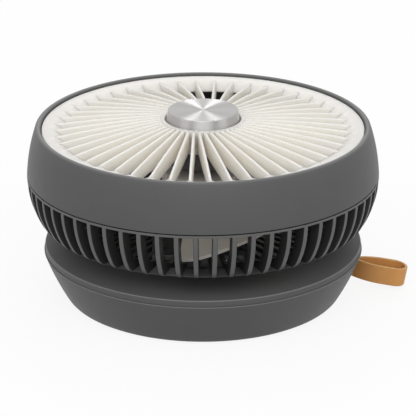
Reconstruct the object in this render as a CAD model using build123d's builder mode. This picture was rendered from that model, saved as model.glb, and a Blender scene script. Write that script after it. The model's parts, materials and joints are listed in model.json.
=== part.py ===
from build123d import *
import os
from math import asin, cos, degrees, radians, sin, sqrt

os.makedirs("parts", exist_ok=True)

# A rechargeable table fan, folded flat: a round head lies face up on a round base.
# Between them a flat arm runs from a hinge at the back of the base to a hinge at the front
# of the head, so the head rises and turns to face the front as the arm swings up.
# Millimetres. +Z is up, -Y is the front, and the origin is under the middle of the foot pad.

# Clearances
running_fit = 0.05
slide_fit = 0.15
joint_line = 0.2
swing_gap = 0.6
seam_gap = 0.5

# How far a cut runs past the middle of the wall that it opens
cut_reach = 18.0

# Base: a bowl closed by a flat cover, on a rubber pad
base_radius = 94.4
base_flare = 13.2
base_height = 30.6
base_wall = 2.4
base_swell = 0.75
base_foot_round = 2.5
bowl_edge_round = 0.5
cover_band_height = 4.2
cover_band_inset = 0.3
cover_thickness = 2.6
cover_edge_round = 0.9
cover_spigot_depth = 3.5
cover_spigot_wall = 1.8
pad_margin = 9.2
pad_proud = 1.0
pad_recess = 0.6
pad_edge = 0.3

# Screws, all of one size, and the bosses that take them
screw_radius = 1.3
screw_head_radius = 2.4
screw_head_height = 1.4
base_screw_count = 4
base_screw_inset = 6.0
base_boss_radius = 5.0
base_boss_height = 5.0
base_post_radius = 4.0
base_screw_bite = 9.0

# Battery and charging board in the base
cell_radius = 9.2
cell_length = 65.0
cell_count = 4
cell_nub_radius = 2.8
cell_nub_height = 0.8
cell_spacing = 0.6
tray_floor = 1.2
tray_rim = 1.8
tray_height = 8.0
board_thickness = 1.6
charge_board_width = 30.0
charge_board_depth = 18.0
charge_board_lift = 4.0
charge_board_post_radius = 2.5
charge_board_post_spread = 18.0
port_width = 8.94
port_height = 3.26
port_depth = 7.4
port_wall = 0.35
port_floor = 1.2
port_overhang = 4.0
port_tongue_thickness = 0.7
port_tongue_gap = 0.85
port_tongue_short = 1.6
port_mouth_width = 12.6
port_mouth_height = 6.8

# Leather hanging loop at the right of the base
strap_width = 11.2
strap_thickness = 1.7
strap_droop = 10.0
strap_root_height = 13.0
strap_root_out = 1.6
strap_root_side = 1.0
strap_loop_length = 32.0
strap_loop_half = 7.5
strap_belly = 18.0
strap_tail = 13.0
strap_boss_depth = 5.0
strap_boss_width = 11.0
strap_boss_height = 18.0
clamp_wall = 1.2
clamp_length = 5.0

# Fold: arm, hinges and the space that they lie in
fold_gap = 11.6
hinge_offset = 46.0
arm_width = 44.0
arm_corner = 7.0
arm_edge_round = 1.0
arm_shoulder_gap = 1.4
arm_cover_thickness = 2.2
arm_cover_margin = 4.0
arm_channel_width = 7.0
arm_channel_depth = 4.0
arm_screw_inset = 6.0
arm_screw_bite = 3.6
arm_lead_radius = 0.9
arm_lead_spread = 3.0
knuckle_width = 26.0
ear_width = 6.0
pin_radius = 2.5
pin_bore_radius = 1.2
bush_wall = 1.4
bush_length = 9.0
washer_thickness = 0.5
washer_reach = 2.2
bracket_thickness = 2.5
bracket_length = 30.0
bracket_margin = 8.0
bracket_screw_inset = 4.5
bracket_corner = 3.0
bracket_skin = 0.7

# Head: housing ring at the front, slotted bowl at the back
head_radius = 103.0
housing_height = 28.6
housing_wall = 2.4
housing_swell = 1.03
lip_setback = 8.6
lip_width = 2.9
lip_round = 1.2
ledge_thickness = 2.5
ledge_reach = 4.4
rear_depth = 31.6
rear_floor = 2.8
rear_band_height = 3.0
rear_spigot_height = 4.0
rear_spigot_wall = 1.8
rear_corner_radius = 13.0
rear_flank_turn = 30.0
rear_plate_radius = 44.0
rib_count = 60
rib_first_angle = 3.7
rib_width = 2.8
rib_depth = 7.4
rib_taper = 10.0
rib_bite = 2.0
ring_inset = 1.2
ring_thickness = 2.6
ring_height = 7.8
head_boss_radius = 3.2
head_boss_height = 8.0
head_boss_count = 4
head_boss_angle = 45.7
head_screw_bite = 8.0

# Front grille: straight vanes set beside the radius, and the hub that they run to
grille_recess = 1.6
grille_ring_width = 4.9
grille_ring_height = 7.8
dish_land = 0.9
dish_reach = 13.9
dish_drop = 5.3
dish_edge = 2.0
grille_outer_round = 0.7
vane_count = 48
vane_first_angle = -1.7
vane_offset = 4.6
vane_thickness = 2.2
vane_ring_drop = 1.6
vane_swell = 0.8
vane_hub_depth = 11.0
hub_rise = 5.2
hub_wall = 2.2
hub_edge_round = 0.7
hub_height = 14.0
well_floor = 1.8
guide_radius = 6.5
guide_length = 5.0
hub_cover_wall = 1.8
hub_cover_floor = 1.5
hub_cover_edge_round = 1.5
hub_post_circle = 16.5
hub_post_radius = 2.6
hub_post_count = 3
hub_board_radius = 20.0
hub_board_lift = 1.5
hub_screw_bite = 6.0
switch_lead_thickness = 1.0

# Push button in the hub
button_top_radius = 20.4
button_foot_radius = 21.9
button_gap = 0.8
button_proud = 5.1
button_height = 9.0
button_wall = 1.6
button_edge_round = 0.5
button_travel = 1.2
button_rest_gap = 0.4
stem_radius = 4.0
stem_tip = 1.2
clip_thickness = 0.8
clip_groove = 0.6
clip_reach = 2.0
switch_size = 6.0
switch_body_height = 3.6
plunger_radius = 1.7
plunger_seat = 1.6

# Motor and impeller
shaft_radius = 2.0
shaft_foot = 1.0
shaft_in_nut = 2.4
bearing_radius = 4.5
bearing_height = 3.0
bearing_spacing = 12.5
stator_tube_wall = 2.0
stator_flange_radius = 15.0
stator_flange = 2.0
stator_radius = 13.6
stator_height = 10.0
stator_lift = 2.5
magnet_gap = 0.6
magnet_thickness = 1.6
can_wall = 1.4
can_height = 15.0
can_lift = 1.0
motor_screw_count = 3
motor_screw_circle = 10.5
motor_screw_skin = 0.7
blade_tip_gap = 3.4
impeller_hub_radius = 24.0
impeller_hub_wall = 2.0
impeller_hub_height = 21.0
impeller_hub_round = 1.0
impeller_boss_radius = 5.5
impeller_lift = 9.0
blade_count = 5
blade_first_angle = -74.3
blade_root_chord = 30.0
blade_tip_chord = 82.5
blade_root_pitch = 32.0
blade_tip_pitch = 19.0
blade_tip_drop = 2.0
blade_root_thickness = 2.6
blade_tip_thickness = 1.7
blade_corner = 25.0
nut_radius = 4.2
nut_height = 3.2
motor_lead_radius = 0.8
motor_lead_spread = 2.4

# Radii that lie a set distance inside another
base_foot_radius = base_radius - base_flare
pad_radius = base_foot_radius - pad_margin
base_screw_circle = pad_radius - base_screw_inset
lip_inner_radius = head_radius - lip_setback

# Heights, from the ground up
pad_thickness = pad_proud + pad_recess
base_floor_z = pad_proud
base_top_z = base_floor_z + base_height
bowl_floor_z = base_floor_z + base_wall
cover_under_z = base_top_z - cover_thickness
band_z = base_top_z - cover_band_height
bowl_top_z = band_z - joint_line
hinge_z = base_top_z + fold_gap / 2
head_back_z = base_top_z + fold_gap
rear_floor_z = head_back_z + rear_floor
seam_z = head_back_z + rear_depth
rear_top_z = seam_z - seam_gap / 2
housing_foot_z = seam_z + seam_gap / 2
lip_z = seam_z + housing_height
grille_top_z = lip_z - grille_recess
ledge_z = grille_top_z - grille_ring_height
ledge_under_z = ledge_z - ledge_thickness
hub_top_z = grille_top_z + hub_rise
hub_foot_z = hub_top_z - hub_height
button_top_z = hub_top_z + button_proud
button_foot_z = button_top_z - button_height
well_z = button_foot_z - button_travel - button_rest_gap
well_under_z = well_z - well_floor
guide_foot_z = well_under_z - guide_length
stem_foot_z = guide_foot_z - clip_thickness - stem_tip
switch_top_z = stem_foot_z - button_travel - button_rest_gap
hub_board_z = switch_top_z - switch_body_height
hub_board_under_z = hub_board_z - board_thickness
hub_cover_z = hub_board_under_z - hub_board_lift
hub_cover_under_z = hub_cover_z - hub_cover_floor

# Hinges: both pins lie across the fan, one at the back of the base, one at the front of the head
base_hinge_y = hinge_offset
head_hinge_y = -hinge_offset
knuckle_radius = fold_gap / 2 - swing_gap
arm_thickness = 2 * knuckle_radius
arm_under_z = hinge_z - knuckle_radius
arm_top_z = hinge_z + knuckle_radius
ear_inner_x = knuckle_width / 2 + washer_thickness + 2 * running_fit
ear_outer_x = ear_inner_x + ear_width
ear_mid_x = (ear_inner_x + ear_outer_x) / 2
bracket_width = 2 * (ear_outer_x + bracket_margin)
bracket_screw_x = bracket_width / 2 - bracket_screw_inset
bracket_screw_y = bracket_length / 2 - bracket_screw_inset

# Alignments of solids that stand on, or hang from, the point they are placed at
upward = (Align.CENTER, Align.CENTER, Align.MIN)
downward = (Align.CENTER, Align.CENTER, Align.MAX)


def side_circle(top, foot, swell):
    """Centre and radius of the arc from top to foot that swells past its chord, away from the axis."""
    chord = Vector(*top) - Vector(*foot)
    radius = (chord.length**2 / 4 + swell**2) / (2 * swell)
    inward = Vector(-chord.Y, chord.X) / chord.length
    return (Vector(*top) + Vector(*foot)) / 2 + inward * (radius - swell), radius


def on_side(side, height, inset=0.0):
    """Point of a swollen side at a height, or of the same side set in by a wall."""
    centre, radius = side
    return centre.X + sqrt((radius - inset) ** 2 - (height - centre.Y) ** 2), height


def side_arc(side, start, end, inset=0.0):
    """Stretch of a swollen side between two heights."""
    return ThreePointArc(
        on_side(side, start, inset), on_side(side, (start + end) / 2, inset), on_side(side, end, inset)
    )


def around(radius, count, height, first=45.0):
    """Places evenly spaced on a circle."""
    turns = [radians(first + 360 * k / count) for k in range(count)]
    return [(radius * cos(turn), radius * sin(turn), height) for turn in turns]


def corners(x, y, height, middle_y=0.0):
    """The four corners of a rectangle."""
    return [(side * x, middle_y + end * y, height) for side in (-1, 1) for end in (-1, 1)]


def pan_screws(places, length, up=True):
    """Pan-head screws, each with the seat of its head at its place."""
    turn = (0, 0, 0) if up else (180, 0, 0)
    with BuildPart() as group:
        with Locations(*[Location(place, turn) for place in places]):
            Cylinder(screw_radius, length, align=upward)
            Cylinder(screw_head_radius, screw_head_height, align=downward)
    return group


def finish(piece, name):
    """Name a finished piece and write it."""
    piece.part.label = name
    export_step(piece.part, f"parts/{name}.step")


# Base bowl
bowl_side = side_circle((base_radius, bowl_top_z), (base_foot_radius, base_floor_z), base_swell)
bowl_inner_top = on_side(bowl_side, bowl_top_z, base_wall)[0]
base_screw_places = around(base_screw_circle, base_screw_count, pad_thickness)
base_screw_seat_z = pad_thickness + screw_head_height + joint_line
base_boss_z = bowl_floor_z + base_boss_height
charge_board_z = bowl_floor_z + charge_board_lift
port_z = charge_board_z + board_thickness + port_height / 2
port_y = on_side(bowl_side, port_z - port_height / 2, base_wall)[0] - 2 * joint_line
charge_board_y = port_y - port_overhang - charge_board_depth / 2
strap_root_x = on_side(bowl_side, strap_root_height)[0] + strap_root_out
strap_plane = Plane(
    origin=(strap_root_x, strap_root_side, strap_root_height),
    x_dir=(cos(radians(strap_droop)), 0, -sin(radians(strap_droop))),
    z_dir=(sin(radians(strap_droop)), 0, cos(radians(strap_droop))),
)
strap_boss_end = -strap_root_out - base_wall - strap_boss_depth

with BuildPart() as bowl_hollow:
    with BuildSketch(Plane.XZ):
        with BuildLine():
            wall = side_arc(bowl_side, bowl_floor_z, bowl_top_z, base_wall)
            Polyline(wall @ 1, (0, bowl_top_z), (0, bowl_floor_z), wall @ 0)
        make_face()
    revolve(axis=Axis.Z)
    with Locations(*around(base_screw_circle, base_screw_count, bowl_floor_z)):
        Cylinder(base_boss_radius, base_boss_height, align=upward, mode=Mode.SUBTRACT)
    with Locations((0, charge_board_y, bowl_floor_z)):
        with GridLocations(charge_board_post_spread, 0, 2, 1):
            Cylinder(charge_board_post_radius, charge_board_lift, align=upward, mode=Mode.SUBTRACT)
    with BuildSketch(strap_plane):
        with Locations((strap_boss_end, 0)):
            Rectangle(-strap_boss_end, strap_boss_width, align=(Align.MIN, Align.CENTER))
    extrude(amount=strap_boss_height / 2, both=True, mode=Mode.SUBTRACT)

with BuildPart() as base_bowl:
    with BuildSketch(Plane.XZ) as bowl_profile:
        with BuildLine():
            outside = side_arc(bowl_side, base_floor_z, bowl_top_z)
            Polyline(
                outside @ 1,
                (0, bowl_top_z),
                (0, pad_thickness),
                (pad_radius + joint_line, pad_thickness),
                (pad_radius + joint_line, base_floor_z),
                outside @ 0,
            )
        make_face()
        foot_corner = bowl_profile.vertices().sort_by_distance((base_foot_radius, base_floor_z))[0]
        fillet(foot_corner, base_foot_round)
        top_corner = bowl_profile.vertices().sort_by_distance((base_radius, bowl_top_z))[0]
        fillet(top_corner, bowl_edge_round)
    revolve(axis=Axis.Z)
    add(bowl_hollow.part, mode=Mode.SUBTRACT)
    with Locations(*base_screw_places):
        Cylinder(
            screw_head_radius + joint_line,
            screw_head_height + joint_line,
            align=upward,
            mode=Mode.SUBTRACT,
        )
        Cylinder(screw_radius + running_fit, base_boss_z, align=upward, mode=Mode.SUBTRACT)
    with BuildSketch(strap_plane):
        Rectangle(2 * cut_reach, 2 * strap_thickness + 2 * joint_line)
    extrude(amount=strap_width / 2 + joint_line, both=True, mode=Mode.SUBTRACT)
    with BuildSketch(Plane.XZ.offset(-base_radius)):
        with Locations((0, port_z)):
            RectangleRounded(port_mouth_width, port_mouth_height, port_mouth_height / 2 - joint_line)
    extrude(amount=base_radius - port_y + port_depth / 2, mode=Mode.SUBTRACT)
finish(base_bowl, "base_bowl")

# Base cover
cover_radius = base_radius - cover_band_inset
cover_spigot_z = band_z - cover_spigot_depth
cover_spigot_radius = on_side(bowl_side, cover_spigot_z, base_wall)[0] - joint_line
base_ear_places = [(side * ear_mid_x, base_hinge_y, base_top_z) for side in (-1, 1)]
base_bracket_z = cover_under_z - bracket_thickness
base_bracket_screws = corners(bracket_screw_x, bracket_screw_y, base_bracket_z, base_hinge_y)
base_bracket_bite = bracket_thickness + cover_thickness - bracket_skin

with BuildPart() as base_cover:
    with BuildSketch(Plane.XZ) as cover_profile:
        with BuildLine():
            Polyline(
                (0, base_top_z),
                (cover_radius, base_top_z),
                (cover_radius, band_z),
                (cover_spigot_radius, band_z),
                (cover_spigot_radius, cover_spigot_z),
                (cover_spigot_radius - cover_spigot_wall, cover_spigot_z),
                (cover_spigot_radius - cover_spigot_wall, cover_under_z),
                (0, cover_under_z),
                close=True,
            )
        make_face()
        fillet(cover_profile.vertices().sort_by_distance((cover_radius, base_top_z))[0], cover_edge_round)
    revolve(axis=Axis.Z)
    with Locations(*around(base_screw_circle, base_screw_count, base_boss_z)):
        Cylinder(base_post_radius, cover_under_z - base_boss_z, align=upward)
        Cylinder(screw_radius + running_fit, base_screw_bite + joint_line, align=upward, mode=Mode.SUBTRACT)
    with Locations(*base_ear_places):
        Box(
            ear_width + 2 * joint_line,
            2 * knuckle_radius + 2 * joint_line,
            2 * cover_thickness + joint_line,
            mode=Mode.SUBTRACT,
        )
    with Locations(*base_bracket_screws):
        Cylinder(
            screw_radius + running_fit, base_bracket_bite + joint_line, align=upward, mode=Mode.SUBTRACT
        )
finish(base_cover, "base_cover")

base_screws = pan_screws(
    [(x, y, base_screw_seat_z) for x, y, z in base_screw_places],
    base_boss_z - base_screw_seat_z + base_screw_bite,
)
finish(base_screws, "base_screws")

with BuildPart() as foot_pad:
    Cylinder(pad_radius, pad_thickness, align=upward)
    chamfer(foot_pad.edges().group_by(Axis.Z)[0], pad_edge)
finish(foot_pad, "foot_pad")

# Battery: cells side by side in a cradle on the bowl's floor
cell_pitch = 2 * cell_radius + cell_spacing
cell_z = bowl_floor_z + tray_floor + joint_line + cell_radius
tray_width = cell_count * cell_pitch + 2 * tray_rim
tray_length = cell_length + cell_nub_height + 2 * (joint_line + tray_rim)

with BuildPart() as battery_tray:
    with Locations((0, 0, bowl_floor_z)):
        Box(tray_width, tray_length, tray_height, align=upward)
    with Locations((0, 0, cell_z)):
        with GridLocations(cell_pitch, 0, cell_count, 1):
            Cylinder(
                cell_radius + joint_line,
                tray_length - 2 * tray_rim,
                rotation=(90, 0, 0),
                mode=Mode.SUBTRACT,
            )
finish(battery_tray, "battery_tray")

with BuildPart() as battery_cells:
    with BuildSketch(Plane.XZ.offset(-(cell_length + cell_nub_height) / 2)):
        with Locations((0, cell_z)):
            with GridLocations(cell_pitch, 0, cell_count, 1):
                Circle(cell_radius)
    extrude(amount=cell_length)
    with BuildSketch(Plane.XZ.offset((cell_length - cell_nub_height) / 2)):
        with Locations((0, cell_z)):
            with GridLocations(cell_pitch, 0, cell_count, 1):
                Circle(cell_nub_radius)
    extrude(amount=cell_nub_height)
finish(battery_cells, "battery_cells")

# Charging board and its socket, behind an opening at the back of the bowl
with BuildPart() as charge_board:
    with Locations((0, charge_board_y, charge_board_z)):
        Box(charge_board_width, charge_board_depth, board_thickness, align=upward)
finish(charge_board, "charge_board")

with BuildPart() as charge_socket:
    with BuildSketch(Plane.XZ.offset(-port_y)):
        with Locations((0, port_z)):
            RectangleRounded(port_width, port_height, port_height / 2 - joint_line)
    extrude(amount=port_depth)
    with BuildSketch(Plane.XZ.offset(-port_y)):
        with Locations((0, port_z)):
            RectangleRounded(
                port_width - 2 * port_wall,
                port_height - 2 * port_wall,
                port_height / 2 - port_wall - joint_line,
            )
    extrude(amount=port_depth - port_floor, mode=Mode.SUBTRACT)
    with BuildSketch(Plane.XZ.offset(-port_y + port_tongue_short)):
        with Locations((0, port_z)):
            Rectangle(port_width - 2 * port_wall - 2 * port_tongue_gap, port_tongue_thickness)
    extrude(amount=port_depth - port_tongue_short - port_floor / 2)
finish(charge_socket, "charge_socket")

# Hinge brackets: a plate behind the casing's wall, with two ears that reach out through it
def hinge_bracket(hinge_y, plate_z, ear_root_z, screw_places):
    """Bracket whose ears run from ear_root_z to the hinge axis."""
    with BuildPart() as bracket:
        with BuildSketch(Plane.XY.offset(plate_z)):
            with Locations((0, hinge_y)):
                RectangleRounded(bracket_width, bracket_length, bracket_corner)
        extrude(amount=bracket_thickness)
        for side in (-1, 1):
            with BuildSketch(Plane.YZ.offset(side * ear_mid_x)):
                with Locations((hinge_y, hinge_z)):
                    Circle(knuckle_radius)
                with Locations((hinge_y, (hinge_z + ear_root_z) / 2)):
                    Rectangle(2 * knuckle_radius, abs(hinge_z - ear_root_z))
            extrude(amount=ear_width / 2, both=True)
        with Locations((0, hinge_y, hinge_z)):
            Cylinder(
                pin_radius + running_fit / 2,
                2 * ear_outer_x + joint_line,
                rotation=(0, 90, 0),
                mode=Mode.SUBTRACT,
            )
        with Locations(*screw_places):
            Cylinder(screw_radius + running_fit, 2 * cut_reach, mode=Mode.SUBTRACT)
    return bracket


def hinge_pin(hinge_y):
    """Hollow pin that ends flush with the ears, bored for the lead that passes the hinge."""
    with BuildPart() as pin:
        with Locations((0, hinge_y, hinge_z)):
            Cylinder(pin_radius, 2 * ear_outer_x, rotation=(0, 90, 0))
            Cylinder(pin_bore_radius, 2 * ear_outer_x, rotation=(0, 90, 0), mode=Mode.SUBTRACT)
    return pin


head_bracket_screws = corners(
    bracket_screw_x, bracket_screw_y, rear_floor_z + bracket_thickness, head_hinge_y
)
head_bracket_bite = bracket_thickness + rear_floor - bracket_skin

base_hinge_bracket = hinge_bracket(base_hinge_y, base_bracket_z, base_bracket_z, base_bracket_screws)
finish(base_hinge_bracket, "base_hinge_bracket")
base_hinge_screws = pan_screws(base_bracket_screws, base_bracket_bite)
finish(base_hinge_screws, "base_hinge_screws")
base_hinge_pin = hinge_pin(base_hinge_y)
finish(base_hinge_pin, "base_hinge_pin")

head_hinge_bracket = hinge_bracket(
    head_hinge_y, rear_floor_z, rear_floor_z + bracket_thickness, head_bracket_screws
)
finish(head_hinge_bracket, "head_hinge_bracket")
head_hinge_screws = pan_screws(head_bracket_screws, head_bracket_bite, up=False)
finish(head_hinge_screws, "head_hinge_screws")
head_hinge_pin = hinge_pin(head_hinge_y)
finish(head_hinge_pin, "head_hinge_pin")

# Leather loop: one band, doubled back on itself, its two tails clamped behind the slot
strap_nose = strap_loop_length - strap_loop_half
strap_rise = strap_loop_half - strap_thickness
strap_side_radius = (strap_belly**2 + strap_rise**2) / (2 * strap_rise)
strap_inside_half = strap_loop_half - strap_thickness
strap_inside_root = strap_belly - sqrt(
    (strap_side_radius - strap_thickness) ** 2 - (strap_side_radius - strap_loop_half) ** 2
)
clamp_start = strap_boss_end
strap_end = strap_boss_end - strap_tail + strap_boss_depth

with BuildPart() as leather_loop:
    with BuildSketch(strap_plane):
        with BuildLine():
            upper_side = TangentArc((strap_belly, strap_loop_half), (0, strap_thickness), tangent=(-1, 0))
            lower_side = TangentArc((strap_belly, -strap_loop_half), (0, -strap_thickness), tangent=(-1, 0))
            nose = ThreePointArc(
                (strap_nose, strap_loop_half), (strap_loop_length, 0), (strap_nose, -strap_loop_half)
            )
            Line(upper_side @ 0, nose @ 0)
            Line(nose @ 1, lower_side @ 0)
            Polyline(
                upper_side @ 1, (strap_end, strap_thickness), (strap_end, -strap_thickness), lower_side @ 1
            )
        make_face()
        with BuildLine():
            upper_in = TangentArc((strap_belly, strap_inside_half), (strap_inside_root, 0), tangent=(-1, 0))
            lower_in = TangentArc((strap_belly, -strap_inside_half), (strap_inside_root, 0), tangent=(-1, 0))
            nose_in = ThreePointArc(
                (strap_nose, strap_inside_half),
                (strap_loop_length - strap_thickness, 0),
                (strap_nose, -strap_inside_half),
            )
            Line(upper_in @ 0, nose_in @ 0)
            Line(nose_in @ 1, lower_in @ 0)
        make_face(mode=Mode.SUBTRACT)
    extrude(amount=strap_width / 2, both=True)
finish(leather_loop, "leather_loop")

with BuildPart() as strap_clamp:
    with BuildSketch(strap_plane):
        with Locations((clamp_start, 0)):
            Rectangle(
                clamp_length,
                2 * (strap_thickness + joint_line + clamp_wall),
                align=(Align.MAX, Align.CENTER),
            )
    extrude(amount=strap_width / 2 + joint_line + clamp_wall, both=True)
    with BuildSketch(strap_plane):
        with Locations((clamp_start, 0)):
            Rectangle(2 * cut_reach, 2 * (strap_thickness + joint_line / 4))
    extrude(amount=strap_width / 2 + joint_line / 2, both=True, mode=Mode.SUBTRACT)
finish(strap_clamp, "strap_clamp")

# Arm: a flat shell with a knuckle at each end, closed by a let-in cover
arm_body_length = 2 * (hinge_offset - knuckle_radius - arm_shoulder_gap)
arm_cover_width = arm_width - 2 * arm_cover_margin
arm_cover_length = arm_body_length - 2 * arm_cover_margin
arm_cover_z = arm_top_z - arm_cover_thickness
arm_screw_places = corners(
    arm_cover_width / 2 - arm_screw_inset, arm_cover_length / 2 - arm_screw_inset, arm_top_z
)
arm_channel_length = arm_cover_length - 2 * arm_screw_inset
bush_radius = pin_radius + running_fit + bush_wall
knuckle_places = [(0, base_hinge_y, hinge_z), (0, head_hinge_y, hinge_z)]
bush_x = (knuckle_width - bush_length) / 2
bush_places = [(side * bush_x, y, z) for side in (-1, 1) for x, y, z in knuckle_places]
washer_x = knuckle_width / 2 + running_fit + washer_thickness / 2
washer_places = [(side * washer_x, y, z) for side in (-1, 1) for x, y, z in knuckle_places]

with BuildPart() as arm_shell:
    with BuildSketch(Plane.XY.offset(arm_under_z)):
        RectangleRounded(arm_width, arm_body_length, arm_corner)
    extrude(amount=arm_thickness)
    fillet(arm_shell.faces().sort_by(Axis.Z)[0].edges(), arm_edge_round)
    fillet(arm_shell.faces().sort_by(Axis.Z)[-1].edges(), arm_edge_round)
    with Locations((0, 0, hinge_z)):
        Box(knuckle_width, 2 * hinge_offset, arm_thickness)
    with Locations(*knuckle_places):
        Cylinder(knuckle_radius, knuckle_width, rotation=(0, 90, 0))
        Cylinder(
            pin_radius + 2 * running_fit, knuckle_width, rotation=(0, 90, 0), mode=Mode.SUBTRACT
        )
    with Locations(*bush_places):
        Cylinder(bush_radius + running_fit / 2, bush_length, rotation=(0, 90, 0), mode=Mode.SUBTRACT)
    with BuildSketch(Plane.XY.offset(arm_cover_z)):
        RectangleRounded(arm_cover_width, arm_cover_length, arm_corner - arm_cover_margin / 2)
    extrude(amount=arm_cover_thickness, mode=Mode.SUBTRACT)
    with Locations((0, 0, arm_cover_z)):
        Box(arm_channel_width, arm_channel_length, arm_channel_depth, align=downward, mode=Mode.SUBTRACT)
    with Locations(*arm_screw_places):
        Cylinder(
            screw_radius + running_fit,
            arm_cover_thickness + arm_screw_bite + joint_line,
            align=downward,
            mode=Mode.SUBTRACT,
        )
finish(arm_shell, "arm_shell")

arm_screw_head = screw_head_radius - screw_radius

with BuildPart() as arm_cover:
    with BuildSketch(Plane.XY.offset(arm_cover_z)):
        RectangleRounded(
            arm_cover_width - 2 * joint_line,
            arm_cover_length - 2 * joint_line,
            arm_corner - arm_cover_margin / 2 - joint_line,
        )
    extrude(amount=arm_cover_thickness)
    with Locations(*arm_screw_places):
        CounterSinkHole(screw_radius + running_fit, screw_head_radius + running_fit, arm_cover_thickness)
finish(arm_cover, "arm_cover")

with BuildPart() as arm_screws:
    with Locations(*arm_screw_places):
        Cylinder(screw_radius, arm_cover_thickness + arm_screw_bite, align=downward)
        Cone(screw_radius, screw_head_radius, arm_screw_head, align=downward)
finish(arm_screws, "arm_screws")

with BuildPart() as arm_bushes:
    with Locations(*bush_places):
        Cylinder(bush_radius, bush_length, rotation=(0, 90, 0))
        Cylinder(pin_radius + running_fit, bush_length, rotation=(0, 90, 0), mode=Mode.SUBTRACT)
finish(arm_bushes, "arm_bushes")

with BuildPart() as hinge_washers:
    with Locations(*washer_places):
        Cylinder(pin_radius + washer_reach, washer_thickness, rotation=(0, 90, 0))
        Cylinder(pin_radius + running_fit, washer_thickness, rotation=(0, 90, 0), mode=Mode.SUBTRACT)
finish(hinge_washers, "hinge_washers")

with BuildPart() as arm_lead:
    with Locations((0, 0, arm_cover_z - arm_channel_depth + running_fit + arm_lead_radius)):
        with GridLocations(arm_lead_spread, 0, 2, 1):
            Cylinder(arm_lead_radius, arm_channel_length - 2 * joint_line, rotation=(90, 0, 0))
finish(arm_lead, "arm_lead")

# Rear grille: ribs that run down the flank, round the corner and in to the middle plate
flank_turn = radians(rear_flank_turn)
flank_drop = rear_top_z - head_back_z - rear_corner_radius * (1 - sin(flank_turn))
flank_radius = flank_drop / sin(flank_turn)
corner_x = head_radius - flank_radius * (1 - cos(flank_turn)) - rear_corner_radius * cos(flank_turn)
corner_z = head_back_z + rear_corner_radius
corner_left = 90 - rear_flank_turn
lip_outer_radius = lip_inner_radius + lip_width
housing_side = side_circle((lip_outer_radius, lip_z), (head_radius, housing_foot_z), housing_swell)
rear_spigot_z = rear_top_z + rear_spigot_height
rear_spigot_radius = on_side(housing_side, rear_spigot_z, housing_wall)[0] - joint_line
rear_spigot_inner = rear_spigot_radius - rear_spigot_wall
band_turn = degrees(asin(rear_band_height / flank_radius))
ring_radius = rear_corner_radius - ring_inset
ring_turn = 90 - degrees(asin((rear_corner_radius - ring_height) / ring_radius))
head_boss_circle = rear_spigot_inner - head_boss_radius - 3 * joint_line
head_boss_web = rear_spigot_inner + rear_spigot_wall / 2 - head_boss_circle
head_screw_places = around(head_boss_circle, head_boss_count, seam_z - head_boss_height, head_boss_angle)
motor_screw_places = around(motor_screw_circle, motor_screw_count, rear_floor_z + stator_flange)
motor_screw_bite = stator_flange + rear_floor - motor_screw_skin

with BuildPart() as rib:
    with BuildSketch(Plane.XZ):
        with BuildLine():
            flank = JernArc((head_radius, rear_top_z), (0, -1), flank_radius, -rear_flank_turn)
            corner = JernArc(flank @ 1, flank % 1, rear_corner_radius, -corner_left)
            inner_floor = Polyline(
                corner @ 1,
                (rear_plate_radius - rib_bite, head_back_z),
                (rear_plate_radius - rib_bite, rear_floor_z),
                (corner_x - rib_taper, rear_floor_z),
                (corner_x, head_back_z + rib_depth),
            )
            inner_corner = JernArc(inner_floor @ 1, (1, 0), rear_corner_radius - rib_depth, corner_left)
            inner_flank = JernArc(
                inner_corner @ 1, inner_corner % 1, flank_radius - rib_depth, rear_flank_turn
            )
            Line(inner_flank @ 1, flank @ 0)
        make_face()
    extrude(amount=rib_width / 2, both=True)

with BuildPart() as rear_openings:
    with Locations(*head_screw_places):
        Cylinder(screw_radius + running_fit, head_boss_height, align=upward)
        Cylinder(screw_head_radius + joint_line, head_boss_height, align=downward)
    with Locations(*[(side * ear_mid_x, head_hinge_y, head_back_z) for side in (-1, 1)]):
        Box(ear_width + 2 * joint_line, 2 * knuckle_radius + 2 * joint_line, 2 * rear_floor + joint_line)
    with Locations(*head_bracket_screws):
        Cylinder(screw_radius + running_fit, head_bracket_bite + joint_line, align=downward)
    with Locations(*motor_screw_places):
        Cylinder(screw_radius + running_fit, motor_screw_bite + joint_line, align=downward)
    with Locations((0, head_hinge_y, rear_floor_z)):
        Box(
            bracket_width + 2 * joint_line,
            bracket_length + 2 * joint_line,
            bracket_thickness + screw_head_height + joint_line,
            align=upward,
        )

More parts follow.
